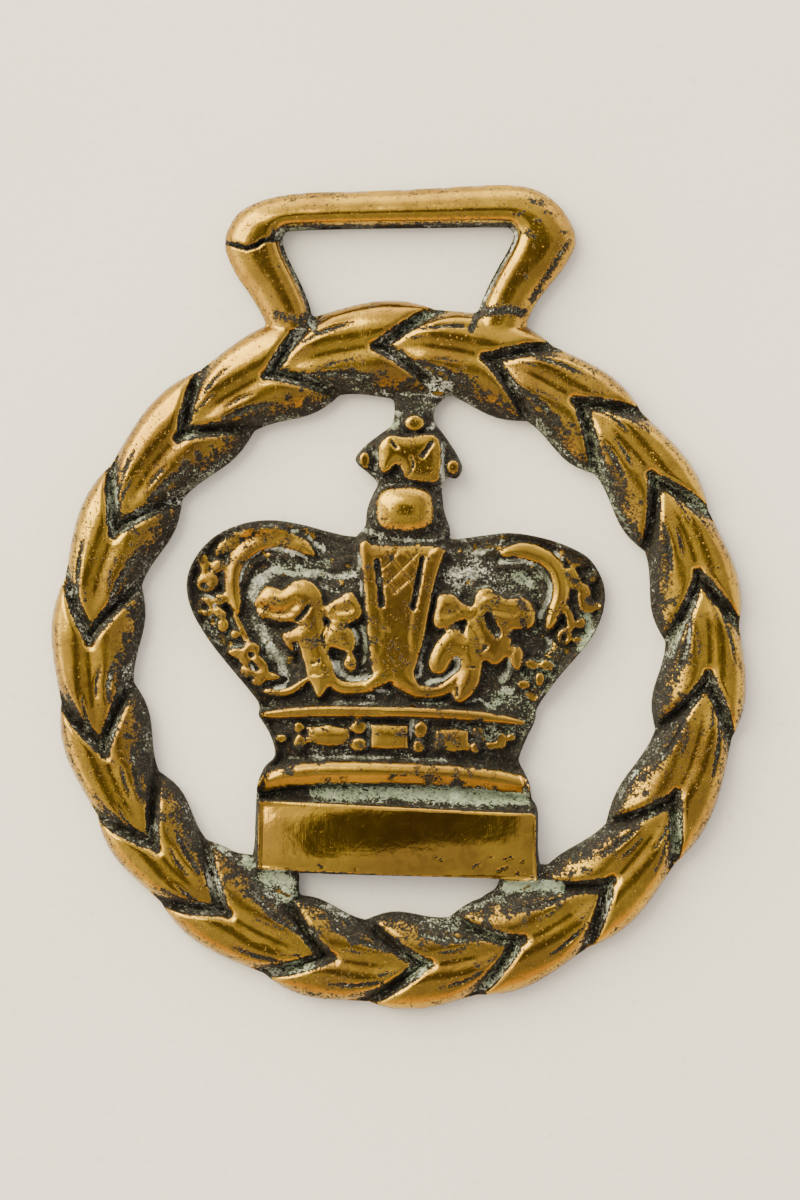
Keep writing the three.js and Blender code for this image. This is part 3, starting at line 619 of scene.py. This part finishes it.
# Its face is worn slightly round about a line across its middle, more at the ends and the foot.
from_middle = abs(Y + 19 - 0.09 * (X - 2))
near = np.minimum(from_middle, 2.8)
face_fall = 0.006 * near**3 + 0.14 * (from_middle - near)
end_fall = 0.75 * (abs(X - 0.8) / 15) ** 4
foot_fall = 0.2 * (1 - ease((Y + 24.3) / 2.2))
relief -= on_plinth * (face_fall + end_fall + foot_fall)
for mark in (
    [(7.9, -23.2), (8.9, -22.7)], [(9.9, -22.1), (10.1, -22)], [(10.6, -23.6), (11.9, -23.1)],
    [(11.4, -22.3), (12.3, -22)], [(12.9, -23.9), (13.1, -23.8)], [(13.3, -22.6), (13.6, -22.5)],
    [(3.9, -22), (4.6, -22.3)], [(-8.8, -22.9), (-8.3, -23.1)], [(-4.9, -23.4), (-4.7, -23.3)],
):
    score(mark, 0.12, 0.2, 0.9)

# ---- The orb and cross ----
# The crown's finial: a squarish orb on two thin collars, under a worn cross patty with a bead on
# top and one at each side. It is the highest relief of the casting, so it is rubbed smooth.

ORB_TOP = 4.5
CROSS_TOP = 3.8
SQUARENESS = 2.7  # 2 would be an oval
across = abs((X - 0.65) / 3.6) ** SQUARENESS
along = abs((Y - 15.95) / 2.95) ** SQUARENESS
orb = (1 - (across + along) ** (1 / SQUARENESS)) * 3.2
stand(orb, ORB_TOP, 3.0)
wipe(orb)
score([(-1.9, 14.9), (-1.3, 14.8)], 0.14, 0.2, 0.6)
tarnish += 0.45 * (1 - ease((Y - 13.3) / 1.1)) * (orb > 0)
roll([(-3, 13.1), (-1, 13), (2, 12.9), (4.4, 13)], 0.28, 2.8, bright=0.8)
roll([(-2.6, 12.4), (0.5, 12.2), (4.2, 12.4)], 0.3, 2.9, bright=0.8)
cross = curve([(-1.9, 20.2), (-2.1, 21.6), (-2, 23), (-1, 23.9), (0.6, 23.7), (2, 23.9),
               (3.9, 23.9), (4.5, 22.4), (4.4, 20.4), (4.1, 19.1), (2.2, 19.1), (0.8, 19.5),
               (0.3, 20.6), (-0.4, 21.1), (-1.2, 20.3)], parts=3)
form = inside(cross, pad=0.8) + 0.4
stand(form, CROSS_TOP, 0.4, crown_share=0.4)
wipe(form)
score([(-0.9, 23.4), (-0.3, 22.7)], 0.14, 0.3, 0.9)
score([(3.6, 23.3), (3.0, 22.5), (2.5, 21.8)], 0.2, 0.4, 1.0)
score([(0.9, 19.6), (1.5, 20.6), (1.3, 21.6)], 0.1, 0.2, 0.6)
pearl(1.7, 25.4, 1.0, 0.85, 3.5)
pearl(-3.8, 21.3, 0.5, 0.8, 3.1)
pearl(5.9, 20.6, 0.65, 0.7, 3.2)
pearl(6.4, 19.7, 0.25, 0.25, 2.4)

# ---- Crust in the hollows ----
# Dried polish and verdigris, chalky white to pale green, caked where no rag gets in: inside the
# arches, along the circlet, in the groove over the plinth and where the webs meet the wreath.

paint(chalk, (
    ([(-17.4, 8.2), (-17.2, 9.2), (-16.6, 10.2), (-15.9, 11), (-14.9, 11.55), (-13.6, 11.7),
      (-12.4, 11.5), (-11.2, 11.2), (-10.2, 10.7)], 0.2, 1.1),
    ([(-13.6, 9.3), (-15, 8.5), (-15.9, 7.4), (-16.3, 6), (-16, 4.2), (-15.1, 2.6),
      (-14.2, 1), (-13.1, -0.6), (-12.6, -1.8)], 0.55, 0.8),
    ([(-13, 9.1), (-11, 8.9), (-9, 9), (-7.4, 8.7), (-6, 8.7), (-4.9, 8.9)], 0.4, 0.9),
    ([(-8, 7.3), (-7, 7)], 0.4, 0.8),
    ([(-4.1, 13.6), (-3, 13.5), (-1.6, 13.1)], 0.4, 0.8),
    ([(-4.6, 9.2), (-4.3, 10), (-4.3, 11)], 0.2, 0.8),
    ([(-4.3, 8), (-4, 6.6)], 0.2, 0.7),
    ([(-4, 3), (-3.7, 1.2), (-3.8, -0.6)], 0.25, 0.95),
    ([(-5, 3), (-4.6, 2.2), (-4.5, 1.2)], 0.14, 1.0),
    ([(-7, -0.9), (-6.3, -2), (-5, -2.65), (-3.8, -2.6), (-2.7, -2.4)], 0.26, 1.3),
    ([(-12.1, -2.4), (-12.6, -3.3), (-13.6, -3.6)], 0.2, 0.9),
    ([(-9.8, 13), (-9.2, 12.2), (-8.2, 11.5)], 0.22, 0.9),
    ([(-11.6, 13.6), (-11.2, 13.6)], 0.2, 1.0),
    ([(-21.3, 6.6), (-20.6, 6.3), (-20.3, 5.4), (-20.7, 4.3)], 0.14, 1.0),
    ([(-21.4, 4.1), (-20.8, 3), (-20.4, 2.2)], 0.18, 0.7),
    ([(-18.8, 10.4), (-18.9, 9.6), (-19.4, 8.9)], 0.16, 0.8),
    ([(-18, 1), (-16.8, 1.2), (-16, 2.2)], 0.25, 0.75),
    ([(-16.2, -1.1), (-15.9, -1.6), (-15.9, -2.2)], 0.14, 1.0),
    ([(-2.5, 10.4), (-2.3, 9), (-2.1, 7.6)], 0.15, 0.9),
    ([(11, 10.2), (12.5, 10.25), (14, 10.2), (15.1, 9.7), (16, 8.7), (16.5, 7.6), (16.4, 6.4),
      (15.8, 5.2), (15.4, 4.2)], 0.24, 1.3),
    ([(5.2, 11.8), (5.9, 10.8), (6.2, 9.6), (6.6, 8.4), (7.6, 8.4), (8.4, 8.6)], 0.7, 0.56),
    ([(5.4, 8), (6.4, 7.6), (7.6, 8)], 0.4, 0.8),
    ([(8, 11.2), (9.4, 11.4), (10.8, 12), (11.4, 12.6)], 0.2, 0.8),
    ([(6.2, -0.2), (6.35, -1.2), (5.7, -2), (4.6, -2.6), (3.2, -3)], 0.24, 1.3),
    ([(3.2, 2), (2.7, 0.6), (2.4, -0.8), (2.3, -2), (1, -2.8)], 0.25, 0.8),
    ([(4.4, 3), (6, 3.3), (7.2, 3.2)], 0.16, 0.7),
    ([(12.2, -0.8), (11.8, -1.8), (11.2, -2.8)], 0.45, 0.95),
    ([(11.4, -3.6), (12.2, -4)], 0.35, 0.9),
    ([(13, 2.6), (14.4, 2), (15, 1), (15.6, 0.2)], 0.25, 0.55),
    ([(16.2, 1.8), (16.6, 1.2)], 0.35, 0.8),
    ([(17.1, 11.2), (17.8, 10.6)], 0.25, 0.9),
    ([(-7.4, -5.15), (-4, -5.25), (0, -5.2), (3, -5.2), (5.4, -5.4)], 0.2, 0.66),
    ([(-2.4, -3.9), (0.2, -4.1), (2.2, -4.7), (3.6, -4.9)], 0.18, 0.6),
    ([(7.4, -5.2), (8.6, -4.8), (9.6, -5.4), (10.6, -5.9)], 0.2, 0.85),
    ([(-12, -11.3), (-9, -11.15), (-6, -11.15), (-2, -11.2), (2, -11.4), (5, -11.5)], 0.2, 0.66),
    ([(-3.4, -7.3), (-3.4, -8.6), (-3.4, -10.2)], 0.14, 0.8),
    ([(1.4, -7.2), (1.3, -8.2), (1.3, -9.2)], 0.14, 0.95),
    ([(-1.6, 26.8), (-0.2, 26.6), (0, 25.6), (-0.8, 24.9)], 0.28, 0.8),
    ([(-3.1, 22.8), (-2.4, 21.6), (-2.5, 20.4)], 0.3, 0.75),
    ([(3, 24.7), (3.8, 25.4), (3.6, 26.6), (4, 27.4)], 0.35, 0.75),
    ([(4.9, 23), (4.8, 21.6), (4.7, 20.2), (4.9, 18.8), (4, 18.2)], 0.25, 0.9),
    ([(4.4, 17.4), (4.3, 16.2)], 0.25, 0.75),
    ([(-2, 12.9), (0.5, 12.6), (3.6, 12.6), (4.8, 12.9)], 0.22, 0.8),
    ([(-2, 11.6), (0.5, 11.7), (3, 11.6)], 0.24, 0.6),
    ([(-14.5, 36.2), (-15.3, 36.4)], 0.3, 0.9),
    ([(8.6, 37.8), (9.8, 39.8), (11.2, 42.3), (12.4, 44.4), (12.9, 45.9), (12.4, 46.9)], 0.2, 0.85),
))
paint(verdigris, (
    ([(-9, -15.2), (-4, -15.1), (2, -15.2), (8, -15.5), (13.4, -15.6)], 0.8, 0.68),
    ([(-14.5, -24.4), (-12.6, -24.6), (-12.2, -26.4)], 0.9, 0.7),
    ([(12, -25.3), (15, -25.2), (17.6, -25.4)], 0.5, 0.95),
    ([(13, 8.6), (14.4, 8)], 0.9, 0.6),
    ([(-12.6, 9.8), (-10, 9.8), (-8, 10.2)], 0.8, 0.45),
    ([(11, -4.8), (14.8, -5.2), (13, -8.2), (10.4, -7.9)], 1.2, 0.3),
    ([(14, -2), (17, -1.4), (15, -4.6)], 1.3, 0.28),
    ([(20.6, 4.2), (20.8, 2.6), (19.8, 0.8)], 0.5, 0.55),
    ([(-16.8, -22.3), (-16.2, -23)], 0.5, 0.6),
))

# ---- The casting as one mesh ----
# Sand leaves a slightly rough skin on the ground and in the hollows. The sides drop nearly
# straight to a flat back, which is only filed smooth, with its edge eased.

EASED_EDGE = 0.3
WALL_TOP = 0.7  # the side wall is never lower than this
WALL_FOOT = 0.35  # height at which the wall turns in to the back
grain = np.random.default_rng(11)


def blurred(field, size):
    """A field smoothed over a size in mm."""
    rows = np.fft.fftfreq(field.shape[0], STEP)[:, None]
    columns = np.fft.rfftfreq(field.shape[1], STEP)[None, :]
    keep = np.exp(-2 * (math.pi * size) ** 2 * (rows**2 + columns**2))
    return np.fft.irfft2(np.fft.rfft2(field) * keep, field.shape)


def mottle(size):
    """Seeded cloudy unevenness with features of a size in mm, spread 1 about 0."""
    field = blurred(grain.standard_normal(X.shape), size)
    return field / field.std()


def below_nearby(size):
    """How far the relief lies below its own mean over a size in mm."""
    return blurred(relief * metal_here, size) / (blurred(metal_here, size) + 1e-3) - relief


# Tarnish stays on steep sides, in hollows, in creases and at the edge, less where hands rub it.
slope_y, slope_x = np.gradient(relief, STEP)
steep = ease((np.hypot(slope_x, slope_y) - 0.7) / 0.7)
untouched = np.where(radius > 34.5, ease(footing / 1.3), 1)
tarnish += 0.6 * steep * untouched
metal_here = (footing > 0).astype(float)
hollow = below_nearby(1.1)
crease = below_nearby(0.4)
tarnish += untouched * (0.55 * np.clip(hollow - 0.2, 0, 1.2) + 2.2 * np.clip(crease - 0.05, 0, 0.5))
tarnish -= 0.4 * np.clip(-crease - 0.05, 0, 0.3)
tarnish += np.where(radius > 34, 0.05, 0.5) * (1 - ease(footing / 0.4))
tarnish += 0.07 * np.clip(mottle(3.0), -1.5, 1.5) + 0.08

# Crust gathers in what is darkest, and worn metal is freckled where the polish is thin.
grooves = np.clip(tarnish - 0.5, 0, 0.5) * 2
on_wreath = np.where(radius > 28.5, 1.0, 0.0)
skim = (0.14 * on_wreath + 0.15 + 0.1 * np.clip(mottle(1.3), -2, 2)) * grooves
chalk = np.maximum(0.72 * chalk, skim) + 0.1 * np.clip(mottle(0.5), -2, 2) * (chalk > 0.05)
verdigris += (0.08 + 0.12 * on_wreath) * np.clip(mottle(2.6), -1, 2) * grooves
rubbed_thin = np.where((crown > 0) & (Y > -15.6), 1.0, 0.0)
fine_spots = mottle(0.27)
flecks = ease((fine_spots - 1.25) / 0.5) * rubbed_thin * (footing > 0.6)
tarnish -= 0.75 * flecks * (tarnish > 0.5)
under_lip = ease((33.2 - radius) / 2.4) * on_wreath
tarnish += under_lip * (0.55 * ease((-fine_spots - 0.75) / 0.5) + 0.08) * (tarnish < 0.5)
thin_share = rubbed_thin * np.where((Y < -6.8) | (X > 11.5), 0.3, 0.14)
tarnish += thin_share * np.clip(mottle(0.35), -2, 2) * (tarnish < 0.5)

# The skin of the casting, and how dull the bright metal is.
relief += 0.02 * mottle(0.9) + 0.07 * mottle(0.24) * grooves
satin = 0.14 + 0.06 * blurred(rubbed_thin, 0.4) - 0.05 * on_plinth
satin += 0.1 * under_lip


def sampled(field, places):
    """A field of the board read at places between its points."""
    u = (places[:, 0] - board_x[0]) / STEP
    v = (places[:, 1] - board_y[0]) / STEP
    i = np.clip(u.astype(int), 0, X.shape[1] - 2)
    j = np.clip(v.astype(int), 0, X.shape[0] - 2)
    u, v = u - i, v - j
    low = field[j, i] * (1 - u) + field[j, i + 1] * u
    high = field[j + 1, i] * (1 - u) + field[j + 1, i + 1] * u
    return low * (1 - v) + high * v


def cut_sheet():
    """The board's triangles inside the plan: points near its outline move on to it, others are cut."""
    slope_y, slope_x = np.gradient(footing, STEP)
    steep = slope_x**2 + slope_y**2 + 1e-6
    close = abs(footing) < 0.3 * STEP
    px = np.where(close, X - footing * slope_x / steep, X).ravel()
    py = np.where(close, Y - footing * slope_y / steep, Y).ravel()
    value = np.where(close, 0, footing).ravel()
    number = np.arange(X.size).reshape(X.shape)
    a, b = number[:-1, :-1], number[:-1, 1:]
    c, d = number[1:, 1:], number[1:, :-1]
    even = (np.indices(a.shape).sum(axis=0) % 2 == 0)[..., None]
    first = np.where(even, np.stack((a, b, c), -1), np.stack((a, b, d), -1)).reshape(-1, 3)
    second = np.where(even, np.stack((a, c, d), -1), np.stack((b, c, d), -1)).reshape(-1, 3)
    triangles = np.vstack((first, second))
    side = np.sign(value)[triangles]
    keep = (side >= 0).all(axis=1) & (side > 0).any(axis=1)
    crossing = triangles[(side < 0).any(axis=1) & (side > 0).any(axis=1)]
    cuts = {}
    extra = []

    def cut(p, q):
        key = (min(p, q), max(p, q))
        if key not in cuts:
            t = value[p] / (value[p] - value[q])
            cuts[key] = X.size + len(cuts)
            extra.append((px[p] + t * (px[q] - px[p]), py[p] + t * (py[q] - py[p])))
        return cuts[key]

    clipped = []
    for corners in crossing.tolist():
        ring = []
        for p, q in zip(corners, corners[1:] + corners[:1]):
            if value[p] >= 0:
                ring.append(p)
            if value[p] * value[q] < 0:
                ring.append(cut(p, q) if value[p] > 0 else cut(q, p))
        clipped += [(ring[0], ring[k], ring[k + 1]) for k in range(1, len(ring) - 1)]
    triangles = np.vstack((triangles[keep], clipped))
    places = np.vstack((np.column_stack((px, py)), extra))
    used, triangles = np.unique(triangles, return_inverse=True)
    return places[used], triangles.reshape(-1, 3)


def edge_loops(triangles):
    """The closed loops of a sheet's open edges, with the sheet on their left."""
    a = triangles[:, [0, 1, 2]].ravel()
    b = triangles[:, [1, 2, 0]].ravel()
    there = set(zip(a.tolist(), b.tolist()))
    after = {p: q for p, q in there if (q, p) not in there}
    loops = []
    while after:
        start, at = after.popitem()
        loop = [start]
        while at != start:
            loop.append(at)
            at = after.pop(at)
        loops.append(loop)
    return loops


places, triangles = cut_sheet()
loops = edge_loops(triangles)
edge = np.concatenate(loops)
top_z = sampled(relief, places)
slope_y, slope_x = np.gradient(footing, STEP)
in_x = sampled(slope_x, places[edge])
in_y = sampled(slope_y, places[edge])
length = np.hypot(in_x, in_y) + 1e-6
eased = places[edge] + EASED_EDGE * np.column_stack((in_x / length, in_y / length))
points = np.vstack((
    np.column_stack((places, np.maximum(top_z, WALL_TOP))),
    np.column_stack((places[edge], np.full(len(edge), WALL_FOOT))),
    np.column_stack((eased, np.zeros(len(edge)))),
))
side_start = len(places)
back_start = side_start + len(edge)
faces = triangles.tolist()
done = 0
back_loops = []
for loop in loops:
    ring = np.arange(done, done + len(loop))
    following = np.roll(ring, -1)
    top = np.array(loop)
    top_next = np.roll(top, -1)
    faces += np.column_stack((top_next, top, side_start + ring, side_start + following)).tolist()
    faces += np.column_stack((
        side_start + following, side_start + ring, back_start + ring, back_start + following,
    )).tolist()
    back_loops.append([Vector((*eased[k], 0)) for k in ring])
    done += len(loop)
wall_end = len(faces)
back = [[back_start + k for k in face] for face in tessellate_polygon(back_loops)]
across = points[[face[1] for face in back]] - points[[face[0] for face in back]]
along = points[[face[2] for face in back]] - points[[face[0] for face in back]]
upward = across[:, 0] * along[:, 1] - across[:, 1] * along[:, 0] > 0
faces += [face[::-1] if up else face for face, up in zip(back, upward)]
points *= MM
low, high = np.array(cad_box)
points = np.clip(points, low, high)

casting_mesh = bpy.data.meshes.new("brass_casting")
casting_mesh.from_pydata(points.tolist(), [], faces)
smooth = np.ones(len(faces), bool)
smooth[wall_end:] = False
casting_mesh.polygons.foreach_set("use_smooth", smooth)
for name, coat, below in (
    ("tarnish", tarnish, 0.8),
    ("verdigris", verdigris, 0.1),
    ("chalk", chalk, 0),
    ("satin", satin, 0),
):
    values = np.concatenate((
        sampled(coat, places),
        np.full(len(edge), below),
        np.full(len(edge), below * 0.6),
    ))
    attribute = casting_mesh.attributes.new(name, "FLOAT", "POINT")
    attribute.data.foreach_set("value", values.astype(np.float32))
casting_mesh.update()
casting = bpy.data.objects.new("brass_casting", casting_mesh)
bpy.context.scene.collection.objects.link(casting)
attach(casting, "root")
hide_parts("horse_brass")

# ---- The brass and its patina ----
# Old yellow brass, hand polished for years: bright and scratched on what the rag reaches, black
# and brown in the hollows, with crumbs of pale green verdigris and dried polish in the deepest.

brass = bpy.data.materials.new("old_polished_brass")
brass.use_nodes = True
tree = brass.node_tree
tree.nodes.clear()


def node(kind, settings=None, **inputs):
    """Add a node; inputs are values or sockets, by name with _ for a space, or by number as i0."""
    made = tree.nodes.new(kind)
    for key, value in (settings or {}).items():
        setattr(made, key, value)
    for key, value in inputs.items():
        socket = made.inputs[int(key[1:])] if key[1:].isdigit() else made.inputs[key.replace("_", " ")]
        if isinstance(value, bpy.types.NodeSocket):
            tree.links.new(value, socket)
        else:
            socket.default_value = value
    return made


def maths(operation, a, b):
    return node("ShaderNodeMath", {"operation": operation}, i0=a, i1=b).outputs[0]


def plus(a, b):
    return maths("ADD", a, b)


def minus(a, b):
    return maths("SUBTRACT", a, b)


def times(a, b):
    return maths("MULTIPLY", a, b)


def between(value, low, high):
    return node("ShaderNodeMapRange", {"interpolation_type": "SMOOTHSTEP"}, Value=value,
                From_Min=low, From_Max=high).outputs["Result"]


def mixed(share, a, b):
    return node("ShaderNodeMix", {"data_type": "RGBA"}, i0=share, i6=a, i7=b).outputs[2]


def mixed_value(share, a, b):
    return node("ShaderNodeMix", {"data_type": "FLOAT"}, i0=share, i2=a, i3=b).outputs[0]


where = node("ShaderNodeTexCoord").outputs["Object"]


def noise(per_mm, detail=2.0, rough=0.5, vector=None):
    return node("ShaderNodeTexNoise", Vector=vector or where, Scale=per_mm / MM, Detail=detail,
                Roughness=rough).outputs["Fac"]


def field(name):
    return node("ShaderNodeAttribute", {"attribute_name": name}).outputs["Fac"]


BRIGHT = (0.47, 0.285, 0.037, 1)
TAWNY = (0.36, 0.202, 0.034, 1)
UMBER = (0.060, 0.036, 0.018, 1)
BLACK = (0.012, 0.010, 0.008, 1)
ASH = (0.085, 0.09, 0.07, 1)
CHALK = (0.64, 0.65, 0.57, 1)
SAGE = (0.30, 0.36, 0.25, 1)

# Tarnish breaks up into ragged patches, from a brown stain to black; open metal has small pocks.
ragged = plus(times(noise(0.9, 3.0, 0.6), 1.1), times(noise(3.4, 3.0, 0.7), 2.1))
dirt = plus(field("tarnish"), minus(ragged, 1.6))
black = between(dirt, 0.40, 0.50)
stain = between(dirt, 0.05, 0.46)
open_metal = minus(1.0, black)
pocks = node("ShaderNodeTexVoronoi", Vector=where, Scale=1.9 / MM).outputs["Distance"]
pocks = minus(1.0, between(pocks, 0.09, 0.2))
pocks = times(pocks, between(plus(noise(0.3, 2.0), stain), 0.55, 0.72))
pocks = times(pocks, between(field("satin"), 0.1, 0.13))
black = maths("MAXIMUM", black, pocks)

# Crumbs of dried polish and verdigris.
crumbs = minus(plus(times(noise(1.1, 2.0, 0.6), 0.9), times(noise(4.0, 3.0, 0.7), 1.6)), 1.25)
crust = between(plus(field("chalk"), crumbs), 0.34, 0.5)
green_crust = between(plus(field("verdigris"), crumbs), 0.34, 0.5)
greenness = between(plus(field("verdigris"), noise(0.5)), 0.45, 0.85)
crust = times(maths("MAXIMUM", crust, green_crust), between(field("tarnish"), 0.4, 0.55))

tone = noise(0.16, 2.0)
metal = mixed(between(tone, 0.35, 0.65), BRIGHT, TAWNY)
cloudy = times(between(noise(0.7, 3.0, 0.6), 0.45, 0.7), 0.25)
dull = times(minus(field("satin"), 0.14), 2.4)
dull = plus(dull, times(stain, 0.42))
metal = mixed(maths("MAXIMUM", cloudy, dull), metal, UMBER)
soot = mixed(between(noise(2.0, 3.0, 0.7), 0.5, 0.75), BLACK, UMBER)
soot = mixed(times(between(noise(4.2, 3.0, 0.7), 0.55, 0.66), 0.7), soot, ASH)
paleness = plus(noise(2.8, 3.0, 0.7), times(noise(0.35, 2.0), 0.8))
paleness = plus(paleness, times(field("chalk"), 0.2))
scale_colour = mixed(between(paleness, 0.86, 1.24), ASH, CHALK)
sage_colour = mixed(between(noise(2.4, 3.0, 0.7), 0.45, 0.65), SAGE, scale_colour)
scale_colour = mixed(greenness, scale_colour, sage_colour)
colour = mixed(black, metal, soot)
colour = mixed(crust, colour, scale_colour)

# Gloss.
metallic = times(minus(1.0, times(black, 0.9)), minus(1.0, crust))
rough_metal = plus(field("satin"), times(noise(1.4, 3.0), 0.1))
roughness = mixed_value(between(black, 0.55, 1.0), rough_metal, 0.6)
roughness = mixed_value(crust, roughness, 0.9)

# Fine unevenness, far below the relief: sand skin, scratches across the face, rough crust.
squeezed = node("ShaderNodeMapping", Vector=where, Scale=(7.0, 0.35, 1.0))
scratches = noise(1.0, 2.0, 0.6, squeezed.outputs[0])
skin = plus(times(noise(1.3, 2.0), 0.035), times(scratches, 0.007))
lumps = times(noise(3.2, 3.0, 0.7), times(maths("MAXIMUM", black, crust), 0.2))
step_down = times(open_metal, 0.015)
uneven = plus(skin, plus(lumps, step_down))
bump = node("ShaderNodeBump", Height=uneven, Strength=0.8, Distance=MM)
shader = node("ShaderNodeBsdfPrincipled", Base_Color=colour, Metallic=metallic, Roughness=roughness,
              Specular_IOR_Level=0.2, Normal=bump.outputs[0])
node("ShaderNodeOutputMaterial", Surface=shader.outputs[0])
casting_mesh.materials.append(brass)

# ---- The table top ----
# A plain pale slab that the brass lies on, flat on its back, with a dry matt surface.

table = bpy.data.materials.new("pale_table")
table.use_nodes = True
tree = table.node_tree
table_shader = tree.nodes["Principled BSDF"]
where = node("ShaderNodeTexCoord").outputs["Generated"]  # 0 to 1 over the slab
cloud = noise(0.03, 3.0)
fleck = noise(1.2, 2.0)
cloud = plus(times(cloud, 0.5), times(noise(1.8, 4.0, 0.8), 0.5))
table_colour = mixed(between(cloud, 0.36, 0.64), (0.95, 0.905, 0.845, 1), (1.0, 0.97, 0.92, 1))
fleck_share = times(between(fleck, 0.62, 0.8), 0.25)
table_colour = mixed(fleck_share, table_colour, (0.60, 0.57, 0.53, 1))
tree.links.new(table_colour, table_shader.inputs["Base Color"])
table_shader.inputs["Roughness"].default_value = 0.8
bpy.ops.mesh.primitive_plane_add(size=1.6, location=(0, 0, -0.03 * MM))
floor = bpy.context.object
floor.name = "table_top"
floor.data.materials.append(table)

# ---- Lights ----
# One wide soft box from the upper left, in a pale room that is lightest low down towards the
# window, warm on the near side, and dark overhead, which a flat polished face mirrors back.

soft_box = bpy.data.lights.new("key_light", "AREA")
soft_box.shape = "SQUARE"
soft_box.size = 0.9
soft_box.energy = 21.0
soft_box.color = (1.0, 0.92, 0.58)
key_light = bpy.data.objects.new("key_light", soft_box)
key_light.location = (-0.62, 0.55, 0.66)
key_light.rotation_euler = (-key_light.location).to_track_quat("-Z", "Y").to_euler()
bpy.context.scene.collection.objects.link(key_light)

room = bpy.data.worlds.new("pale_room")
room.use_nodes = True
bpy.context.scene.world = room
tree = room.node_tree
direction = node("ShaderNodeTexCoord").outputs["Generated"]
parts = node("ShaderNodeSeparateXYZ", Vector=direction).outputs
window_side = between(minus(parts["Y"], parts["X"]), -0.8, 0.9)
near_side = between(times(parts["Y"], -1.0), 0.2, 0.8)
low_down = minus(1.0, between(parts["Z"], 0.3, 0.7))
overhead = between(parts["Z"], 0.955, 0.99)
high_sky = mixed(window_side, (0.55, 0.54, 0.53, 1), (1.38, 1.3, 1.12, 1))
low_sky = mixed(window_side, (1.8, 1.7, 1.6, 1), (4.0, 3.75, 3.3, 1))
low_sky = mixed(near_side, low_sky, (1.7, 1.1, 0.5, 1))
sky = mixed(low_down, high_sky, low_sky)
sky = mixed(overhead, sky, (0.10, 0.092, 0.055, 1))
background = tree.nodes["Background"]
tree.links.new(sky, background.inputs["Color"])
background.inputs["Strength"].default_value = 1.12

# ---- Camera ----
# Straight above the brass, half a metre up, with a long lens that takes in just over its height.

VIEW_HEIGHT = 132 * MM
CAMERA_UP = 0.5
lens = bpy.data.cameras.new("camera")
lens.sensor_width = 36
lens.lens = lens.sensor_width * CAMERA_UP / VIEW_HEIGHT
camera = bpy.data.objects.new("camera", lens)
camera.location = (0.0001, 0.00605, CAMERA_UP)
bpy.context.scene.collection.objects.link(camera)
bpy.context.scene.camera = camera
